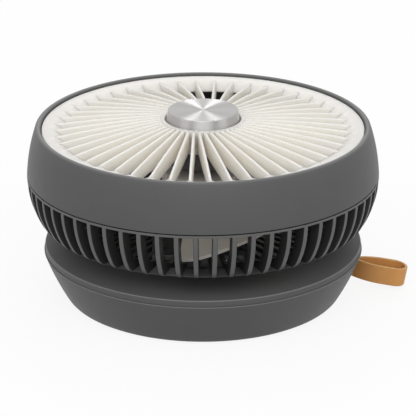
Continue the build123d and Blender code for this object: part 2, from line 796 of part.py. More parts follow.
with BuildPart() as rear_grille:
    with BuildSketch(Plane.XZ):
        with BuildLine():
            band = JernArc((head_radius, rear_top_z), (0, -1), flank_radius, -band_turn)
            Polyline(
                band @ 1,
                (rear_spigot_inner, rear_top_z - rear_band_height),
                (rear_spigot_inner, rear_spigot_z),
                (rear_spigot_radius, rear_spigot_z),
                (rear_spigot_radius, rear_top_z),
                band @ 0,
            )
        make_face()
    revolve(axis=Axis.Z)
    with BuildSketch(Plane.XZ):
        with BuildLine():
            ring_out = CenterArc((corner_x, corner_z), ring_radius, -90, ring_turn)
            ring_in = CenterArc((corner_x, corner_z), ring_radius - ring_thickness, -90, ring_turn)
            Line(ring_out @ 0, ring_in @ 0)
            Line(ring_out @ 1, ring_in @ 1)
        make_face()
    revolve(axis=Axis.Z)
    with Locations((0, 0, head_back_z)):
        Cylinder(rear_plate_radius, rear_floor, align=upward)
    with Locations((0, head_hinge_y, head_back_z)):
        Box(bracket_width + rib_width, bracket_length + rib_width, rear_floor, align=upward)
    with PolarLocations(head_boss_circle, head_boss_count, start_angle=head_boss_angle):
        with Locations((0, 0, rear_top_z)):
            Box(
                head_boss_web,
                head_boss_radius,
                rear_band_height,
                align=(Align.MIN, Align.CENTER, Align.MAX),
            )
    with Locations(*head_screw_places):
        Cylinder(head_boss_radius, head_boss_height, align=upward)
    with PolarLocations(0, rib_count, start_angle=rib_first_angle):
        add(rib.part)
    add(rear_openings.part, mode=Mode.SUBTRACT)
finish(rear_grille, "rear_grille")

# Housing ring, with a ledge that carries the front grille
ledge_radius = lip_inner_radius - ledge_reach

with BuildPart() as head_housing:
    with BuildSketch(Plane.XZ) as housing_profile:
        with BuildLine():
            outside = side_arc(housing_side, lip_z, housing_foot_z)
            inside = side_arc(housing_side, housing_foot_z, ledge_under_z, housing_wall)
            Line(outside @ 1, inside @ 0)
            Polyline(
                inside @ 1,
                (ledge_radius, ledge_under_z),
                (ledge_radius, ledge_z),
                (lip_inner_radius, ledge_z),
                (lip_inner_radius, lip_z),
                outside @ 0,
            )
        make_face()
        fillet(housing_profile.vertices().group_by(Axis.Y)[-1], lip_round)
    revolve(axis=Axis.Z)
    with Locations(*around(head_boss_circle, head_boss_count, seam_z, head_boss_angle)):
        Cylinder(head_boss_radius, ledge_under_z - seam_z, align=upward)
        Cylinder(screw_radius + running_fit, head_screw_bite + joint_line, align=upward, mode=Mode.SUBTRACT)
finish(head_housing, "head_housing")

housing_screws = pan_screws(head_screw_places, head_boss_height + head_screw_bite)
finish(housing_screws, "housing_screws")

# Front grille: rim that dips inwards, hub with the button's well, and vanes between them
grille_radius = lip_inner_radius - seam_gap
grille_inner_radius = grille_radius - grille_ring_width
dish_radius = grille_radius - dish_reach
dish_z = grille_top_z - dish_drop
well_radius = button_foot_radius + button_gap
hub_radius = well_radius + hub_wall
vane_start = well_radius + hub_wall / 2
vane_end = grille_inner_radius + grille_ring_width / 2
vane_ring_z = grille_top_z - vane_ring_drop
vane_crest_middle = ((vane_start + vane_end) / 2, (hub_top_z + vane_ring_z) / 2 + vane_swell)
vane_foot_z = hub_top_z - vane_hub_depth
vane_foot_slope = (ledge_z - vane_foot_z) / (vane_end - vane_start)
vane_plane = Plane.XZ.rotated((0, 0, vane_first_angle)).offset(vane_offset)

with BuildPart() as vane:
    with BuildSketch(vane_plane):
        with BuildLine():
            crest = ThreePointArc((vane_start, hub_top_z), vane_crest_middle, (vane_end, vane_ring_z))
            Polyline(crest @ 1, (vane_end, ledge_z), (vane_start, vane_foot_z), crest @ 0)
        make_face()
    extrude(amount=vane_thickness / 2, both=True)

with BuildPart() as front_grille:
    with BuildSketch(Plane.XZ) as ring_profile:
        with BuildLine():
            dish = TangentArc(
                (grille_radius - dish_land, grille_top_z), (dish_radius, dish_z), tangent=(-1, 0)
            )
            Polyline(
                dish @ 1,
                (dish_radius, dish_z - dish_edge),
                (grille_inner_radius, ledge_z),
                (grille_radius, ledge_z),
                (grille_radius, grille_top_z),
                dish @ 0,
            )
        make_face()
        fillet(
            ring_profile.vertices().sort_by_distance((grille_radius, grille_top_z))[0], grille_outer_round
        )
    revolve(axis=Axis.Z)
    with BuildSketch(Plane.XZ) as hub_profile:
        with BuildLine():
            Polyline(
                (well_radius, hub_top_z),
                (hub_radius, hub_top_z),
                (hub_radius, hub_foot_z),
                (well_radius, hub_foot_z),
                (well_radius, well_under_z),
                (guide_radius, well_under_z),
                (guide_radius, guide_foot_z),
                (stem_radius + slide_fit, guide_foot_z),
                (stem_radius + slide_fit, well_z),
                (well_radius, well_z),
                close=True,
            )
        make_face()
        fillet(hub_profile.vertices().group_by(Axis.Y)[-1], hub_edge_round)
    revolve(axis=Axis.Z)
    with Locations(*around(hub_post_circle, hub_post_count, hub_board_z)):
        Cylinder(hub_post_radius, well_under_z - hub_board_z, align=upward)
        Cylinder(screw_radius + running_fit, hub_screw_bite + joint_line, align=upward, mode=Mode.SUBTRACT)
    with PolarLocations(0, vane_count):
        add(vane.part)
finish(front_grille, "front_grille")

# What the hub holds: a switch on a round board, closed from behind by a cup
hub_screw_places = around(hub_post_circle, hub_post_count, hub_cover_under_z)
hub_screw_rise = hub_board_z - hub_cover_under_z

with BuildPart() as hub_cover:
    with BuildSketch(Plane.XZ) as cup_profile:
        with BuildLine():
            Polyline(
                (0, hub_cover_under_z),
                (hub_radius, hub_cover_under_z),
                (hub_radius, hub_foot_z),
                (hub_radius - hub_cover_wall, hub_foot_z),
                (hub_radius - hub_cover_wall, hub_cover_z),
                (0, hub_cover_z),
                close=True,
            )
        make_face()
        fillet(
            cup_profile.vertices().sort_by_distance((hub_radius, hub_cover_under_z))[0], hub_cover_edge_round
        )
    revolve(axis=Axis.Z)
    with Locations(*around(hub_post_circle, hub_post_count, hub_cover_z)):
        Cylinder(hub_post_radius, hub_board_lift, align=upward)
    with Locations(*hub_screw_places):
        Cylinder(screw_radius + running_fit, hub_screw_rise, align=upward, mode=Mode.SUBTRACT)
finish(hub_cover, "hub_cover")

hub_screws = pan_screws(hub_screw_places, hub_screw_rise + hub_screw_bite)
finish(hub_screws, "hub_screws")

with BuildPart() as button_board:
    with Locations((0, 0, hub_board_under_z)):
        Cylinder(hub_board_radius, board_thickness, align=upward)
    with Locations(*hub_screw_places):
        Cylinder(screw_radius + running_fit, hub_screw_rise, align=upward, mode=Mode.SUBTRACT)
finish(button_board, "button_board")

with BuildPart() as button_switch:
    with Locations((0, 0, hub_board_z)):
        Box(switch_size, switch_size, switch_body_height, align=upward)
    with Locations((0, 0, switch_top_z)):
        Cylinder(
            plunger_radius + slide_fit,
            plunger_seat + button_travel + joint_line,
            align=downward,
            mode=Mode.SUBTRACT,
        )
finish(button_switch, "button_switch")

with BuildPart() as switch_plunger:
    with Locations((0, 0, stem_foot_z)):
        Cylinder(plunger_radius, stem_foot_z - switch_top_z + plunger_seat, align=downward)
finish(switch_plunger, "switch_plunger")

with BuildPart() as power_button:
    with BuildSketch(Plane.XZ) as button_profile:
        with BuildLine():
            Polyline(
                (0, button_top_z),
                (button_top_radius, button_top_z),
                (button_foot_radius, button_foot_z),
                (button_foot_radius - button_wall, button_foot_z),
                (button_top_radius - button_wall, button_top_z - button_wall),
                (stem_radius, button_top_z - button_wall),
                (stem_radius, guide_foot_z),
                (stem_radius - clip_groove, guide_foot_z),
                (stem_radius - clip_groove, guide_foot_z - clip_thickness),
                (stem_radius, guide_foot_z - clip_thickness),
                (stem_radius, stem_foot_z),
                (0, stem_foot_z),
                close=True,
            )
        make_face()
        fillet(
            button_profile.vertices().sort_by_distance((button_top_radius, button_top_z))[0],
            button_edge_round,
        )
    revolve(axis=Axis.Z)
finish(power_button, "power_button")

with BuildPart() as button_clip:
    with Locations((0, 0, guide_foot_z)):
        Cylinder(stem_radius + clip_reach, clip_thickness, align=downward)
        Cylinder(stem_radius - clip_groove + running_fit, clip_thickness, align=downward, mode=Mode.SUBTRACT)
finish(button_clip, "button_clip")

# Flat lead from the hub to the rim, along the foot of one vane
lead_start_z = vane_foot_z + vane_foot_slope * (hub_radius - vane_start)
lead_end = dish_radius - joint_line
lead_end_z = vane_foot_z + vane_foot_slope * (lead_end - vane_start)

with BuildPart() as switch_lead:
    with BuildSketch(vane_plane):
        with BuildLine():
            Polyline(
                (hub_radius, lead_start_z),
                (lead_end, lead_end_z),
                (lead_end, lead_end_z - switch_lead_thickness),
                (hub_radius, lead_start_z - switch_lead_thickness),
                close=True,
            )
        make_face()
    extrude(amount=vane_thickness / 2, both=True)
finish(switch_lead, "switch_lead")

# Motor: fixed stator on the middle plate, turning can and shaft
bearing_bottoms = [rear_floor_z, rear_floor_z + bearing_spacing]
tube_radius = bearing_radius + stator_tube_wall
tube_height = bearing_spacing + bearing_height
stator_z = rear_floor_z + stator_flange + stator_lift
magnet_inner = stator_radius + magnet_gap
can_inner = magnet_inner + magnet_thickness
can_radius = can_inner + can_wall
can_foot_z = rear_floor_z + stator_flange + can_lift + screw_head_height
can_top_z = can_foot_z + can_height

with BuildPart() as motor_stator:
    with Locations((0, 0, rear_floor_z)):
        Cylinder(stator_flange_radius, stator_flange, align=upward)
        Cylinder(tube_radius, tube_height, align=upward)
    with Locations((0, 0, stator_z)):
        Cylinder(stator_radius, stator_height, align=upward)
    with Locations((0, 0, rear_floor_z)):
        Cylinder(shaft_radius + slide_fit, tube_height, align=upward, mode=Mode.SUBTRACT)
    with Locations(*[(0, 0, bottom) for bottom in bearing_bottoms]):
        Cylinder(bearing_radius + running_fit / 2, bearing_height, align=upward, mode=Mode.SUBTRACT)
    with Locations(*motor_screw_places):
        Cylinder(screw_radius + running_fit, 2 * stator_flange, mode=Mode.SUBTRACT)
finish(motor_stator, "motor_stator")

motor_screws = pan_screws(motor_screw_places, motor_screw_bite, up=False)
finish(motor_screws, "motor_screws")

with BuildPart() as motor_bearings:
    with Locations(*[(0, 0, bottom) for bottom in bearing_bottoms]):
        Cylinder(bearing_radius, bearing_height, align=upward)
        Cylinder(shaft_radius + running_fit, bearing_height, align=upward, mode=Mode.SUBTRACT)
finish(motor_bearings, "motor_bearings")

with BuildPart() as motor_can:
    with Locations((0, 0, can_foot_z)):
        Cylinder(can_radius, can_height, align=upward)
        Cylinder(can_inner, can_height - can_wall, align=upward, mode=Mode.SUBTRACT)
        Cylinder(shaft_radius + running_fit / 2, can_height, align=upward, mode=Mode.SUBTRACT)
finish(motor_can, "motor_can")

with BuildPart() as motor_magnets:
    with Locations((0, 0, stator_z)):
        Cylinder(can_inner - running_fit / 2, stator_height, align=upward)
        Cylinder(magnet_inner, stator_height, align=upward, mode=Mode.SUBTRACT)
finish(motor_magnets, "motor_magnets")

# Impeller: pitched blades on a cup that drops over the motor
impeller_radius = head_boss_circle - head_boss_radius - blade_tip_gap
hub_cup_z = rear_floor_z + impeller_lift
hub_cup_top_z = hub_cup_z + impeller_hub_height
blade_mid_z = hub_cup_z + impeller_hub_height / 2
blade_width = blade_tip_chord * cos(radians(blade_tip_pitch))

with BuildPart() as blade:
    with BuildSketch(Plane.YZ.offset(impeller_hub_radius / 2)):
        with Locations((0, blade_mid_z)):
            Rectangle(blade_root_chord, blade_root_thickness, rotation=blade_root_pitch)
    with BuildSketch(Plane.YZ.offset(impeller_radius)):
        with Locations((0, blade_mid_z - blade_tip_drop)):
            Rectangle(blade_tip_chord, blade_tip_thickness, rotation=blade_tip_pitch)
    loft()
    with BuildSketch(Plane.XY.offset(blade_mid_z - impeller_radius)) as blade_plan:
        Circle(impeller_radius - joint_line)
        Rectangle(impeller_radius, blade_width, align=(Align.MIN, Align.CENTER), mode=Mode.INTERSECT)
        Circle(impeller_hub_radius - impeller_hub_wall / 2, mode=Mode.SUBTRACT)
        fillet(blade_plan.vertices().group_by(Axis.X)[-1], blade_corner)
    extrude(amount=2 * impeller_radius, mode=Mode.INTERSECT)

with BuildPart() as impeller:
    with BuildSketch(Plane.XZ) as cup_section:
        with BuildLine():
            Polyline(
                (shaft_radius + running_fit / 2, hub_cup_top_z),
                (impeller_hub_radius, hub_cup_top_z),
                (impeller_hub_radius, hub_cup_z),
                (impeller_hub_radius - impeller_hub_wall, hub_cup_z),
                (impeller_hub_radius - impeller_hub_wall, hub_cup_top_z - impeller_hub_wall),
                (impeller_boss_radius, hub_cup_top_z - impeller_hub_wall),
                (impeller_boss_radius, can_top_z),
                (shaft_radius + running_fit / 2, can_top_z),
                close=True,
            )
        make_face()
        fillet(
            cup_section.vertices().sort_by_distance((impeller_hub_radius, hub_cup_top_z))[0],
            impeller_hub_round,
        )
    revolve(axis=Axis.Z)
    with PolarLocations(0, blade_count, start_angle=blade_first_angle):
        add(blade.part)
finish(impeller, "impeller")

with BuildPart() as impeller_nut:
    with BuildSketch(Plane.XY.offset(hub_cup_top_z)):
        RegularPolygon(nut_radius, 6)
    extrude(amount=nut_height)
    with Locations((0, 0, hub_cup_top_z)):
        Cylinder(
            shaft_radius + running_fit / 2, shaft_in_nut + joint_line, align=upward, mode=Mode.SUBTRACT
        )
finish(impeller_nut, "impeller_nut")

with BuildPart() as motor_shaft:
    with Locations((0, 0, rear_floor_z + shaft_foot)):
        Cylinder(shaft_radius, hub_cup_top_z + shaft_in_nut - rear_floor_z - shaft_foot, align=upward)
finish(motor_shaft, "motor_shaft")

# Lead from the motor to the head's hinge
motor_lead_start = -stator_flange_radius - joint_line
motor_lead_end = head_hinge_y + bracket_length / 2 + joint_line
motor_lead_y = (motor_lead_start + motor_lead_end) / 2
motor_lead_z = rear_floor_z + running_fit + motor_lead_radius

with BuildPart() as motor_lead:
    with Locations((0, motor_lead_y, motor_lead_z)):
        with GridLocations(motor_lead_spread, 0, 2, 1):
            Cylinder(motor_lead_radius, motor_lead_start - motor_lead_end, rotation=(90, 0, 0))
finish(motor_lead, "motor_lead")
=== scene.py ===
"""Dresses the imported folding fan: shells, grilles, a spun metal button, a leather loop and a stage."""
import json
from math import asin, atan2, cos, pi, radians, sin, sqrt, tau

import bmesh
import bpy
from bpy.props import FloatProperty, FloatVectorProperty, IntProperty, PointerProperty
from mathutils import Matrix, Vector


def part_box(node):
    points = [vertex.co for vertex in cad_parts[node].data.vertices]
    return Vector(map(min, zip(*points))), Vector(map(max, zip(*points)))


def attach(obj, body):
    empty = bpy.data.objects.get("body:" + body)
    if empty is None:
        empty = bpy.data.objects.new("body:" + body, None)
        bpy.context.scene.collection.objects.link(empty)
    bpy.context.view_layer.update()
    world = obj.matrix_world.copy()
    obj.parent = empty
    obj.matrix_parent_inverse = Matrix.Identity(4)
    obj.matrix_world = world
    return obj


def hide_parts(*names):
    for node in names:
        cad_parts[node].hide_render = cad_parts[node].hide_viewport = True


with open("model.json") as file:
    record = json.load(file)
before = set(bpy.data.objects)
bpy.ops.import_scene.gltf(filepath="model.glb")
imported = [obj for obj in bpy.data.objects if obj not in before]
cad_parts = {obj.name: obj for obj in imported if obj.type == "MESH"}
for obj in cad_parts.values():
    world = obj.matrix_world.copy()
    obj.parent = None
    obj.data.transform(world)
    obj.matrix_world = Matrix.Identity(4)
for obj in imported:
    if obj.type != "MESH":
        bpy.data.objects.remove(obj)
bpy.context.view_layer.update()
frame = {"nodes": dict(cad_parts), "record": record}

bl_info = {
    "name": "Folding fan dressing",
    "version": (1, 0, 0),
    "blender": (4, 5, 0),
    "location": "View3D > Sidebar > Fan",
    "description": "Builds the shells, grilles, button and loop of a folding table fan around its solids",
    "category": "Object",
}

WELD = 1e-6
ON_RING = 2e-5
SHARP_ANGLE = radians(38)
FLAT_ANGLE = radians(0.5)
STEPS_PER_VANE = 24
CUT_REACH = 0.02
EAR_GAP = 0.0002

# How wide the bowl's wall is at its rim and its foot, measured level, as a share of its thickness
RIM_SLANT = 1.12
FOOT_SLANT = 0.45

# Marks of moulded plastic, and how pale and how wide a highlight is painted along its edges
FLOW = 0.022
SHEEN = 0.007
GRAIN = 0.00045
MILKY_DEPTH = 0.005
PAINTED_HIGHLIGHT = 2.25
LIP_HIGHLIGHT = 0.0018
EDGE_HIGHLIGHT = 0.0009

# Rise of a normal over which a face becomes an upper one, which takes painted light
UPPER = (0.25, 0.7)

# Radii between which the sides of the cream vanes take on the tint of their tops, not their painted lighter
# tint
CREAM_TOP = (0.072, 0.089)

# Middle that the slots open away from, and squared cosine over which a face leaves the slots' painted shade
SLOTS_MIDDLE = (0.0, 0.0, 0.075)
OPEN_SIDE = (0.06, 0.36)

# Squared cosine from which a face of the leather is a cut edge
CUT_EDGE = 0.45

# Spun metal: spacing of its grooves, how far they tilt, and how hollow the face is
GROOVE = 0.00009
GROOVE_TILT = 0.15
HOLLOW = 0.07

LAMP_AIM = Vector((0, 0, 0.06))


def low(node):
    """Lowest corner of a solid at rest."""
    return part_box(node)[0]


def high(node):
    """Highest corner of a solid at rest."""
    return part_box(node)[1]


# Property groups

def length(name, default, description):
    """A size that the sidebar shows in length units."""
    return FloatProperty(
        name=name, description=description, default=default, precision=5, unit="LENGTH", subtype="DISTANCE"
    )


def angle(name, degrees, description):
    """An angle that the sidebar shows in degrees."""
    return FloatProperty(
        name=name, description=description, default=radians(degrees), unit="ROTATION", subtype="ANGLE"
    )


def spot(name, default, description):
    """A place that the sidebar shows in length units."""
    return FloatVectorProperty(
        name=name, description=description, default=default, unit="LENGTH", subtype="TRANSLATION"
    )


def colour(name, default, description):
    """A linear colour that the sidebar shows as a swatch."""
    return FloatVectorProperty(
        name=name, description=description, default=default, size=3, min=0.0, max=1.0, subtype="COLOR"
    )


class BaseSizes(bpy.types.PropertyGroup):
    """Sizes of the base's shells"""

    foot_radius: length("Foot radius", 0.0809, "Radius of the bowl where its side meets its foot")
    foot_drop: length("Foot drop", 0.0008, "How far the bowl's foot comes down round the pad")
    rim_lift: length("Rim lift", 0.0005, "How far the bowl's rim rises past its solid")
    swell: length("Swell", 0.00075, "How far the bowl's side swells past a straight line")
    foot_round: length("Foot round", 0.0025, "Rounding under the bowl")
    rim_round: length("Rim round", 0.0005, "Rounding of the bowl's rim, under the band")
    wall: length("Wall", 0.0024, "Wall of the bowl")
    band_round: length("Band round", 0.0007, "Rounding of the cover's upper edge")
    band_foot_round: length("Band foot round", 0.0002, "Rounding of the cover's lower edge")
    ledge: length("Ledge", 0.0007, "How far the bowl's rim stands out past the cover's band")
    cover_wall: length("Cover wall", 0.0026, "Thickness of the cover")
    spigot_depth: length("Spigot depth", 0.0035, "How far the cover's spigot reaches into the bowl")
    spigot_wall: length("Spigot wall", 0.0018, "Wall of the cover's spigot")
    seam: length("Seam", 0.0001, "Clearance between fixed pieces")
    pad_edge: length("Pad edge", 0.0003, "Chamfer of the rubber pad")
    mouth_margin: length("Mouth margin", 0.0018, "Room round the charging socket")
    mouth_depth: length("Mouth depth", 0.0010, "How far the mouth is cut back past the socket's end")
    mouth_round: length("Mouth round", 0.0032, "Rounding of the mouth's corners")
    slot_reach: length("Slot reach", 0.0180, "How far the loop's slot is cut each way")


class HeadSizes(bpy.types.PropertyGroup):
    """Sizes of the head's housing and its slotted back"""

    lip_width: length("Lip width", 0.0029, "Width of the housing's upper lip")
    lip_round: length("Lip round", 0.0012, "Rounding of the lip")
    swell: length("Swell", 0.00103, "How far the housing's side swells past a straight line")
    wall: length("Wall", 0.0024, "Wall of the housing")
    foot_round: length("Foot round", 0.0004, "Rounding of the housing's lower edge")
    ledge_reach: length("Ledge reach", 0.0044, "How far the ledge under the front grille reaches in")
    ledge_wall: length("Ledge wall", 0.0025, "Thickness of that ledge")
    seam: length("Seam", 0.0005, "Gap between the housing and the slotted back")
    band: length("Band", 0.0015, "Height of the plain band above the slots")
    band_round: length("Band round", 0.0003, "Rounding of that band's edges")
    spigot_height: length("Spigot height", 0.0040, "Height of the spigot inside the housing")
    spigot_wall: length("Spigot wall", 0.0018, "Wall of that spigot")
    corner: length("Corner", 0.0130, "Radius where the flank turns under")
    flank_turn: angle("Flank turn", 30, "Angle that the flank curves through above that corner")
    floor: length("Floor", 0.0028, "Thickness of the middle plate")
    plate_radius: length("Plate radius", 0.0440, "Radius of the middle plate")
    rib_count: IntProperty(name="Ribs", description="Number of ribs", default=60, min=3)
    rib_first: angle("First rib", 3.7, "Angle of the first rib")
    rib_width: length("Rib width", 0.0028, "Width of a rib")
    rib_depth: length("Rib depth", 0.0074, "Depth of a rib at the flank")
    rib_taper: length("Rib taper", 0.0100, "Length over which a rib thins to the floor")
    rib_round: length("Rib round", 0.00055, "Rounding of a rib's edges")
    ring_inset: length("Ring inset", 0.0003, "How far the slots' lower ring lies behind the ribs")
    ring_width: length("Ring width", 0.0050, "How far that ring reaches in under the middle of the corner")
    ring_height: length("Ring height", 0.0022, "Height of that ring")
    ring_round: length("Ring round", 0.0005, "Rounding of that ring's upper edge")
    pad_margin: length("Pad margin", 0.0014, "Margin of the plate round the hinge bracket")
    plate_round: length("Plate round", 0.0006, "Rounding of both plates")
    spigot_gap: length("Spigot gap", 0.0004, "Gap between the spigot and the housing")


class GrilleSizes(bpy.types.PropertyGroup):
    """Sizes of the front grille and the button"""

    rim_width: length("Rim width", 0.0049, "Width of the cream rim")
    rim_height: length("Rim height", 0.0078, "Height of the cream rim")
    dish_land: length("Dish land", 0.0004, "Flat width of the rim, outside its dish")
    dish_reach: length("Dish reach", 0.0129, "How far the rim's dish reaches in")
    dish_drop: length("Dish drop", 0.0052, "How far the dish falls towards its inner edge")
    dish_lean: angle("Dish lean", 10, "Slope at the dish's outer edge")
    dish_edge: length("Dish edge", 0.0008, "Thickness of the dish at its inner edge")
    dish_round: length("Dish round", 0.0003, "Rounding of the dish's inner edge")
    rim_outer_round: length("Rim outer round", 0.0007, "Rounding of the rim's outer edge")
    recess: length("Recess", 0.0016, "How far the rim lies below the housing's lip")
    gap: length("Gap", 0.0005, "Gap between the rim and the housing")
    vane_count: IntProperty(name="Vanes", description="Number of vanes", default=48, min=3)
    vane_first: angle("First vane", -1.7, "Angle of the first vane")
    vane_offset: length("Vane offset", 0.0046, "How far a vane runs beside the middle")
    vane_foot: length("Vane foot", 0.0024, "Thickness of a vane at its foot")
    vane_crest: length("Vane crest", 0.0015, "Thickness of a vane at its crest")
    vane_round: length("Vane round", 0.0006, "Rounding of a vane's crest")
    vane_drop: length("Vane drop", 0.00175, "How far a vane's crest ends below the rim")
    vane_fillet: length("Vane fillet", 0.0030, "Width of the fillet between a vane and the dish")
    fillet_fade: length("Fillet fade", 0.0080, "Length over which the fillet runs out inwards")
    vane_cover: length("Vane cover", 0.0003, "How far the fillet covers the end of a vane's crest")
    vane_swell: length("Vane swell", 0.0008, "How far a vane's crest swells past a straight line")
    vane_depth: length("Vane depth", 0.0110, "Depth of a vane at the hub")
    vane_flare: length("Vane flare", 0.0030, "How far below the rim a vane counts as its foot")
    hub_gap: length("Hub gap", 0.0004, "Gap between the button and the hub")
    hub_wall: length("Hub wall", 0.0022, "Wall of the hub round the button")
    hub_round: length("Hub round", 0.0004, "Rounding of the hub's upper edges")
    hub_height: length("Hub height", 0.0140, "Height of the hub's wall")
    button_slope: length("Button slope", 0.0015, "How much narrower the button is at its top")
    button_height: length("Button height", 0.0090, "Height of the button's skirt")
    button_wall: length("Button wall", 0.0016, "Wall of the button")
    button_edge: length("Button edge", 0.0005, "Bright cut edge round the button's top")
    stem_radius: length("Stem radius", 0.0040, "Radius of the stem under the button")
    stem_gap: length("Stem gap", 0.0002, "Gap between the stem and its collar")
    collar: length("Collar", 0.0025, "How far the collar reaches out from the stem")
    collar_lift: length("Collar lift", 0.0020, "How far the collar ends above the stem's end")
    well_room: length("Well room", 0.0016, "Room between the button's skirt and the floor under it")
    well_floor: length("Well floor", 0.0018, "Thickness of that floor")


class LoopSizes(bpy.types.PropertyGroup):
    """Sizes of the leather loop"""

    width: length("Width", 0.0112, "Width of the band")
    thickness: length("Thickness", 0.0017, "Thickness of the leather")
    droop: angle("Droop", 10, "How far the loop hangs down")
    reach: length("Reach", 0.0320, "Length of the loop outside the base")
    half: length("Half width", 0.0075, "Half of the loop's outer width")
    belly: length("Belly", 0.0180, "Where the loop is widest, from its root")
    root_height: length("Root height", 0.0130, "Height of the loop's root")
    root_side: length("Root side", 0.0010, "Sideways place of the loop's root")
    root_out: length("Root out", 0.0016, "How far the root lies outside the bowl")
    tail: length("Tail", 0.0170, "Length of the two tails inside the base")
    edge_round: length("Edge round", 0.00035, "Rounding of the cut edges")


class FanColours(bpy.types.PropertyGroup):
    """Colours of the finishes"""

    shell: colour("Shell", (0.084, 0.085, 0.084), "Grey moulded shells")
    # Painted light: upper faces of the grey shells take this lighter tint, as if lit from above
    shell_lit_top: colour("Shell tops", (0.113, 0.114, 0.113), "Upper faces of the grey shells")
    # Painted shade: the sides of the slots take this darker tint, for the shade inside the head
    shell_slot_shade: colour("Shell inside", (0.026, 0.026, 0.026), "Sides of the slots in the head's back")
    ribs: colour("Ribs", (0.098, 0.099, 0.098), "Outer faces of the ribs in the head's back")
    cream: colour("Cream", (0.80, 0.775, 0.735), "Cream grille")
    # Painted light: the vanes' upright sides are lighter and warmer than their tops, for light bounced
    # between vanes
    cream_lit_side: colour("Cream sides", (0.90, 0.855, 0.775), "Upright sides of the cream vanes")
    impeller: colour("Impeller", (0.66, 0.62, 0.575), "Impeller")
    disc: colour("Disc", (0.455, 0.447, 0.44), "Spun metal button")
    leather: colour("Leather", (0.57, 0.265, 0.075), "Leather's face")
    leather_edge: colour("Leather edge", (0.68, 0.42, 0.17), "Leather's cut edge")
    steel: colour("Steel", (0.56, 0.56, 0.55), "Plated screws, pins and motor can")
    black_steel: colour("Black steel", (0.030, 0.030, 0.031), "Powder-coated hinge brackets")
    bronze: colour("Bronze", (0.50, 0.32, 0.13), "Hinge bushes")
    rubber: colour("Rubber", (0.022, 0.022, 0.022), "Foot pad")
    board: colour("Board", (0.020, 0.110, 0.050), "Circuit boards")
    sleeve: colour("Sleeve", (0.035, 0.12, 0.30), "Battery sleeves")
    core: colour("Core", (0.13, 0.10, 0.075), "Motor core and magnets")
    lead: colour("Lead", (0.020, 0.020, 0.020), "Insulated leads")
    inner: colour("Inner plastic", (0.60, 0.60, 0.58), "Plain mouldings inside")
    floor: colour("Floor", (0.985, 0.985, 0.985), "Studio floor")
    floor_bounce: colour("Floor bounce", (0.42, 0.42, 0.42), "Light that the floor throws back on the fan")


class StageSizes(bpy.types.PropertyGroup):
    """Camera and lights"""

    camera_place: spot("Camera place", (0.0, -1.3114, 0.5636), "Where the camera stands")
    camera_aim: spot("Camera aim", (0.0029, 0.0, 0.0507), "What the camera looks at")
    lens: FloatProperty(name="Lens", description="Focal length in millimetres", default=206.5)
    floor_reach: length("Floor reach", 4.0, "Half of the floor's width")
    floor_white: FloatProperty(
        name="Floor white",
        description="How far the floor is shown as plain white",
        default=0.87,
        subtype="FACTOR",
    )
    sky: FloatProperty(name="Sky", description="Strength of the even light from all round", default=0.60)


# Finishes

def maths(operation, reflected=False):
    """Method that joins a socket and another value in a maths node."""

    def join(self, other):
        first, second = (other, self) if reflected else (self, other)
        return self.nodes.node("Math", {"operation": operation}, {0: first, 1: second})

    return join


class Value:
    """A shader socket that takes part in Python expressions."""

    def __init__(self, nodes, socket):
        self.nodes = nodes
        self.socket = socket

    __add__ = maths("ADD")
    __radd__ = maths("ADD", reflected=True)
    __sub__ = maths("SUBTRACT")
    __rsub__ = maths("SUBTRACT", reflected=True)
    __mul__ = maths("MULTIPLY")
    __rmul__ = maths("MULTIPLY", reflected=True)
    __truediv__ = maths("DIVIDE")
    __pow__ = maths("POWER")
    __gt__ = maths("GREATER_THAN")
    larger = maths("MAXIMUM")


class Nodes:
    """A shader tree that is built up node by node."""

    def __init__(self, tree):
        self.tree = tree

    def node(self, kind, settings=None, inputs=None, output=0):
        """Add a node, set it up, feed its sockets and return one of its outputs."""
        made = self.tree.nodes.new("ShaderNode" + kind)
        for key, value in (settings or {}).items():
            setattr(made, key, value)
        for key, value in (inputs or {}).items():
            self.feed(made.inputs[key], value)
        return Value(self, made.outputs[output])

    def feed(self, socket, value):
        """Link a socket, or set it where the value is the same all over."""
        if isinstance(value, Value):
            self.tree.links.new(value.socket, socket)
        elif hasattr(value, "__len__") and socket.type == "RGBA":
            socket.default_value = (*value, 1.0)[:4]
        else:
            socket.default_value = value

    def seen(self):
        """1 where the camera, a reflection or a view through glass looks, 0 where light is gathered."""
        kinds = ("Is Camera Ray", "Is Glossy Ray", "Is Transmission Ray")
        camera, glossy, through = [self.node("LightPath", output=kind) for kind in kinds]
        return camera.larger(glossy).larger(through)


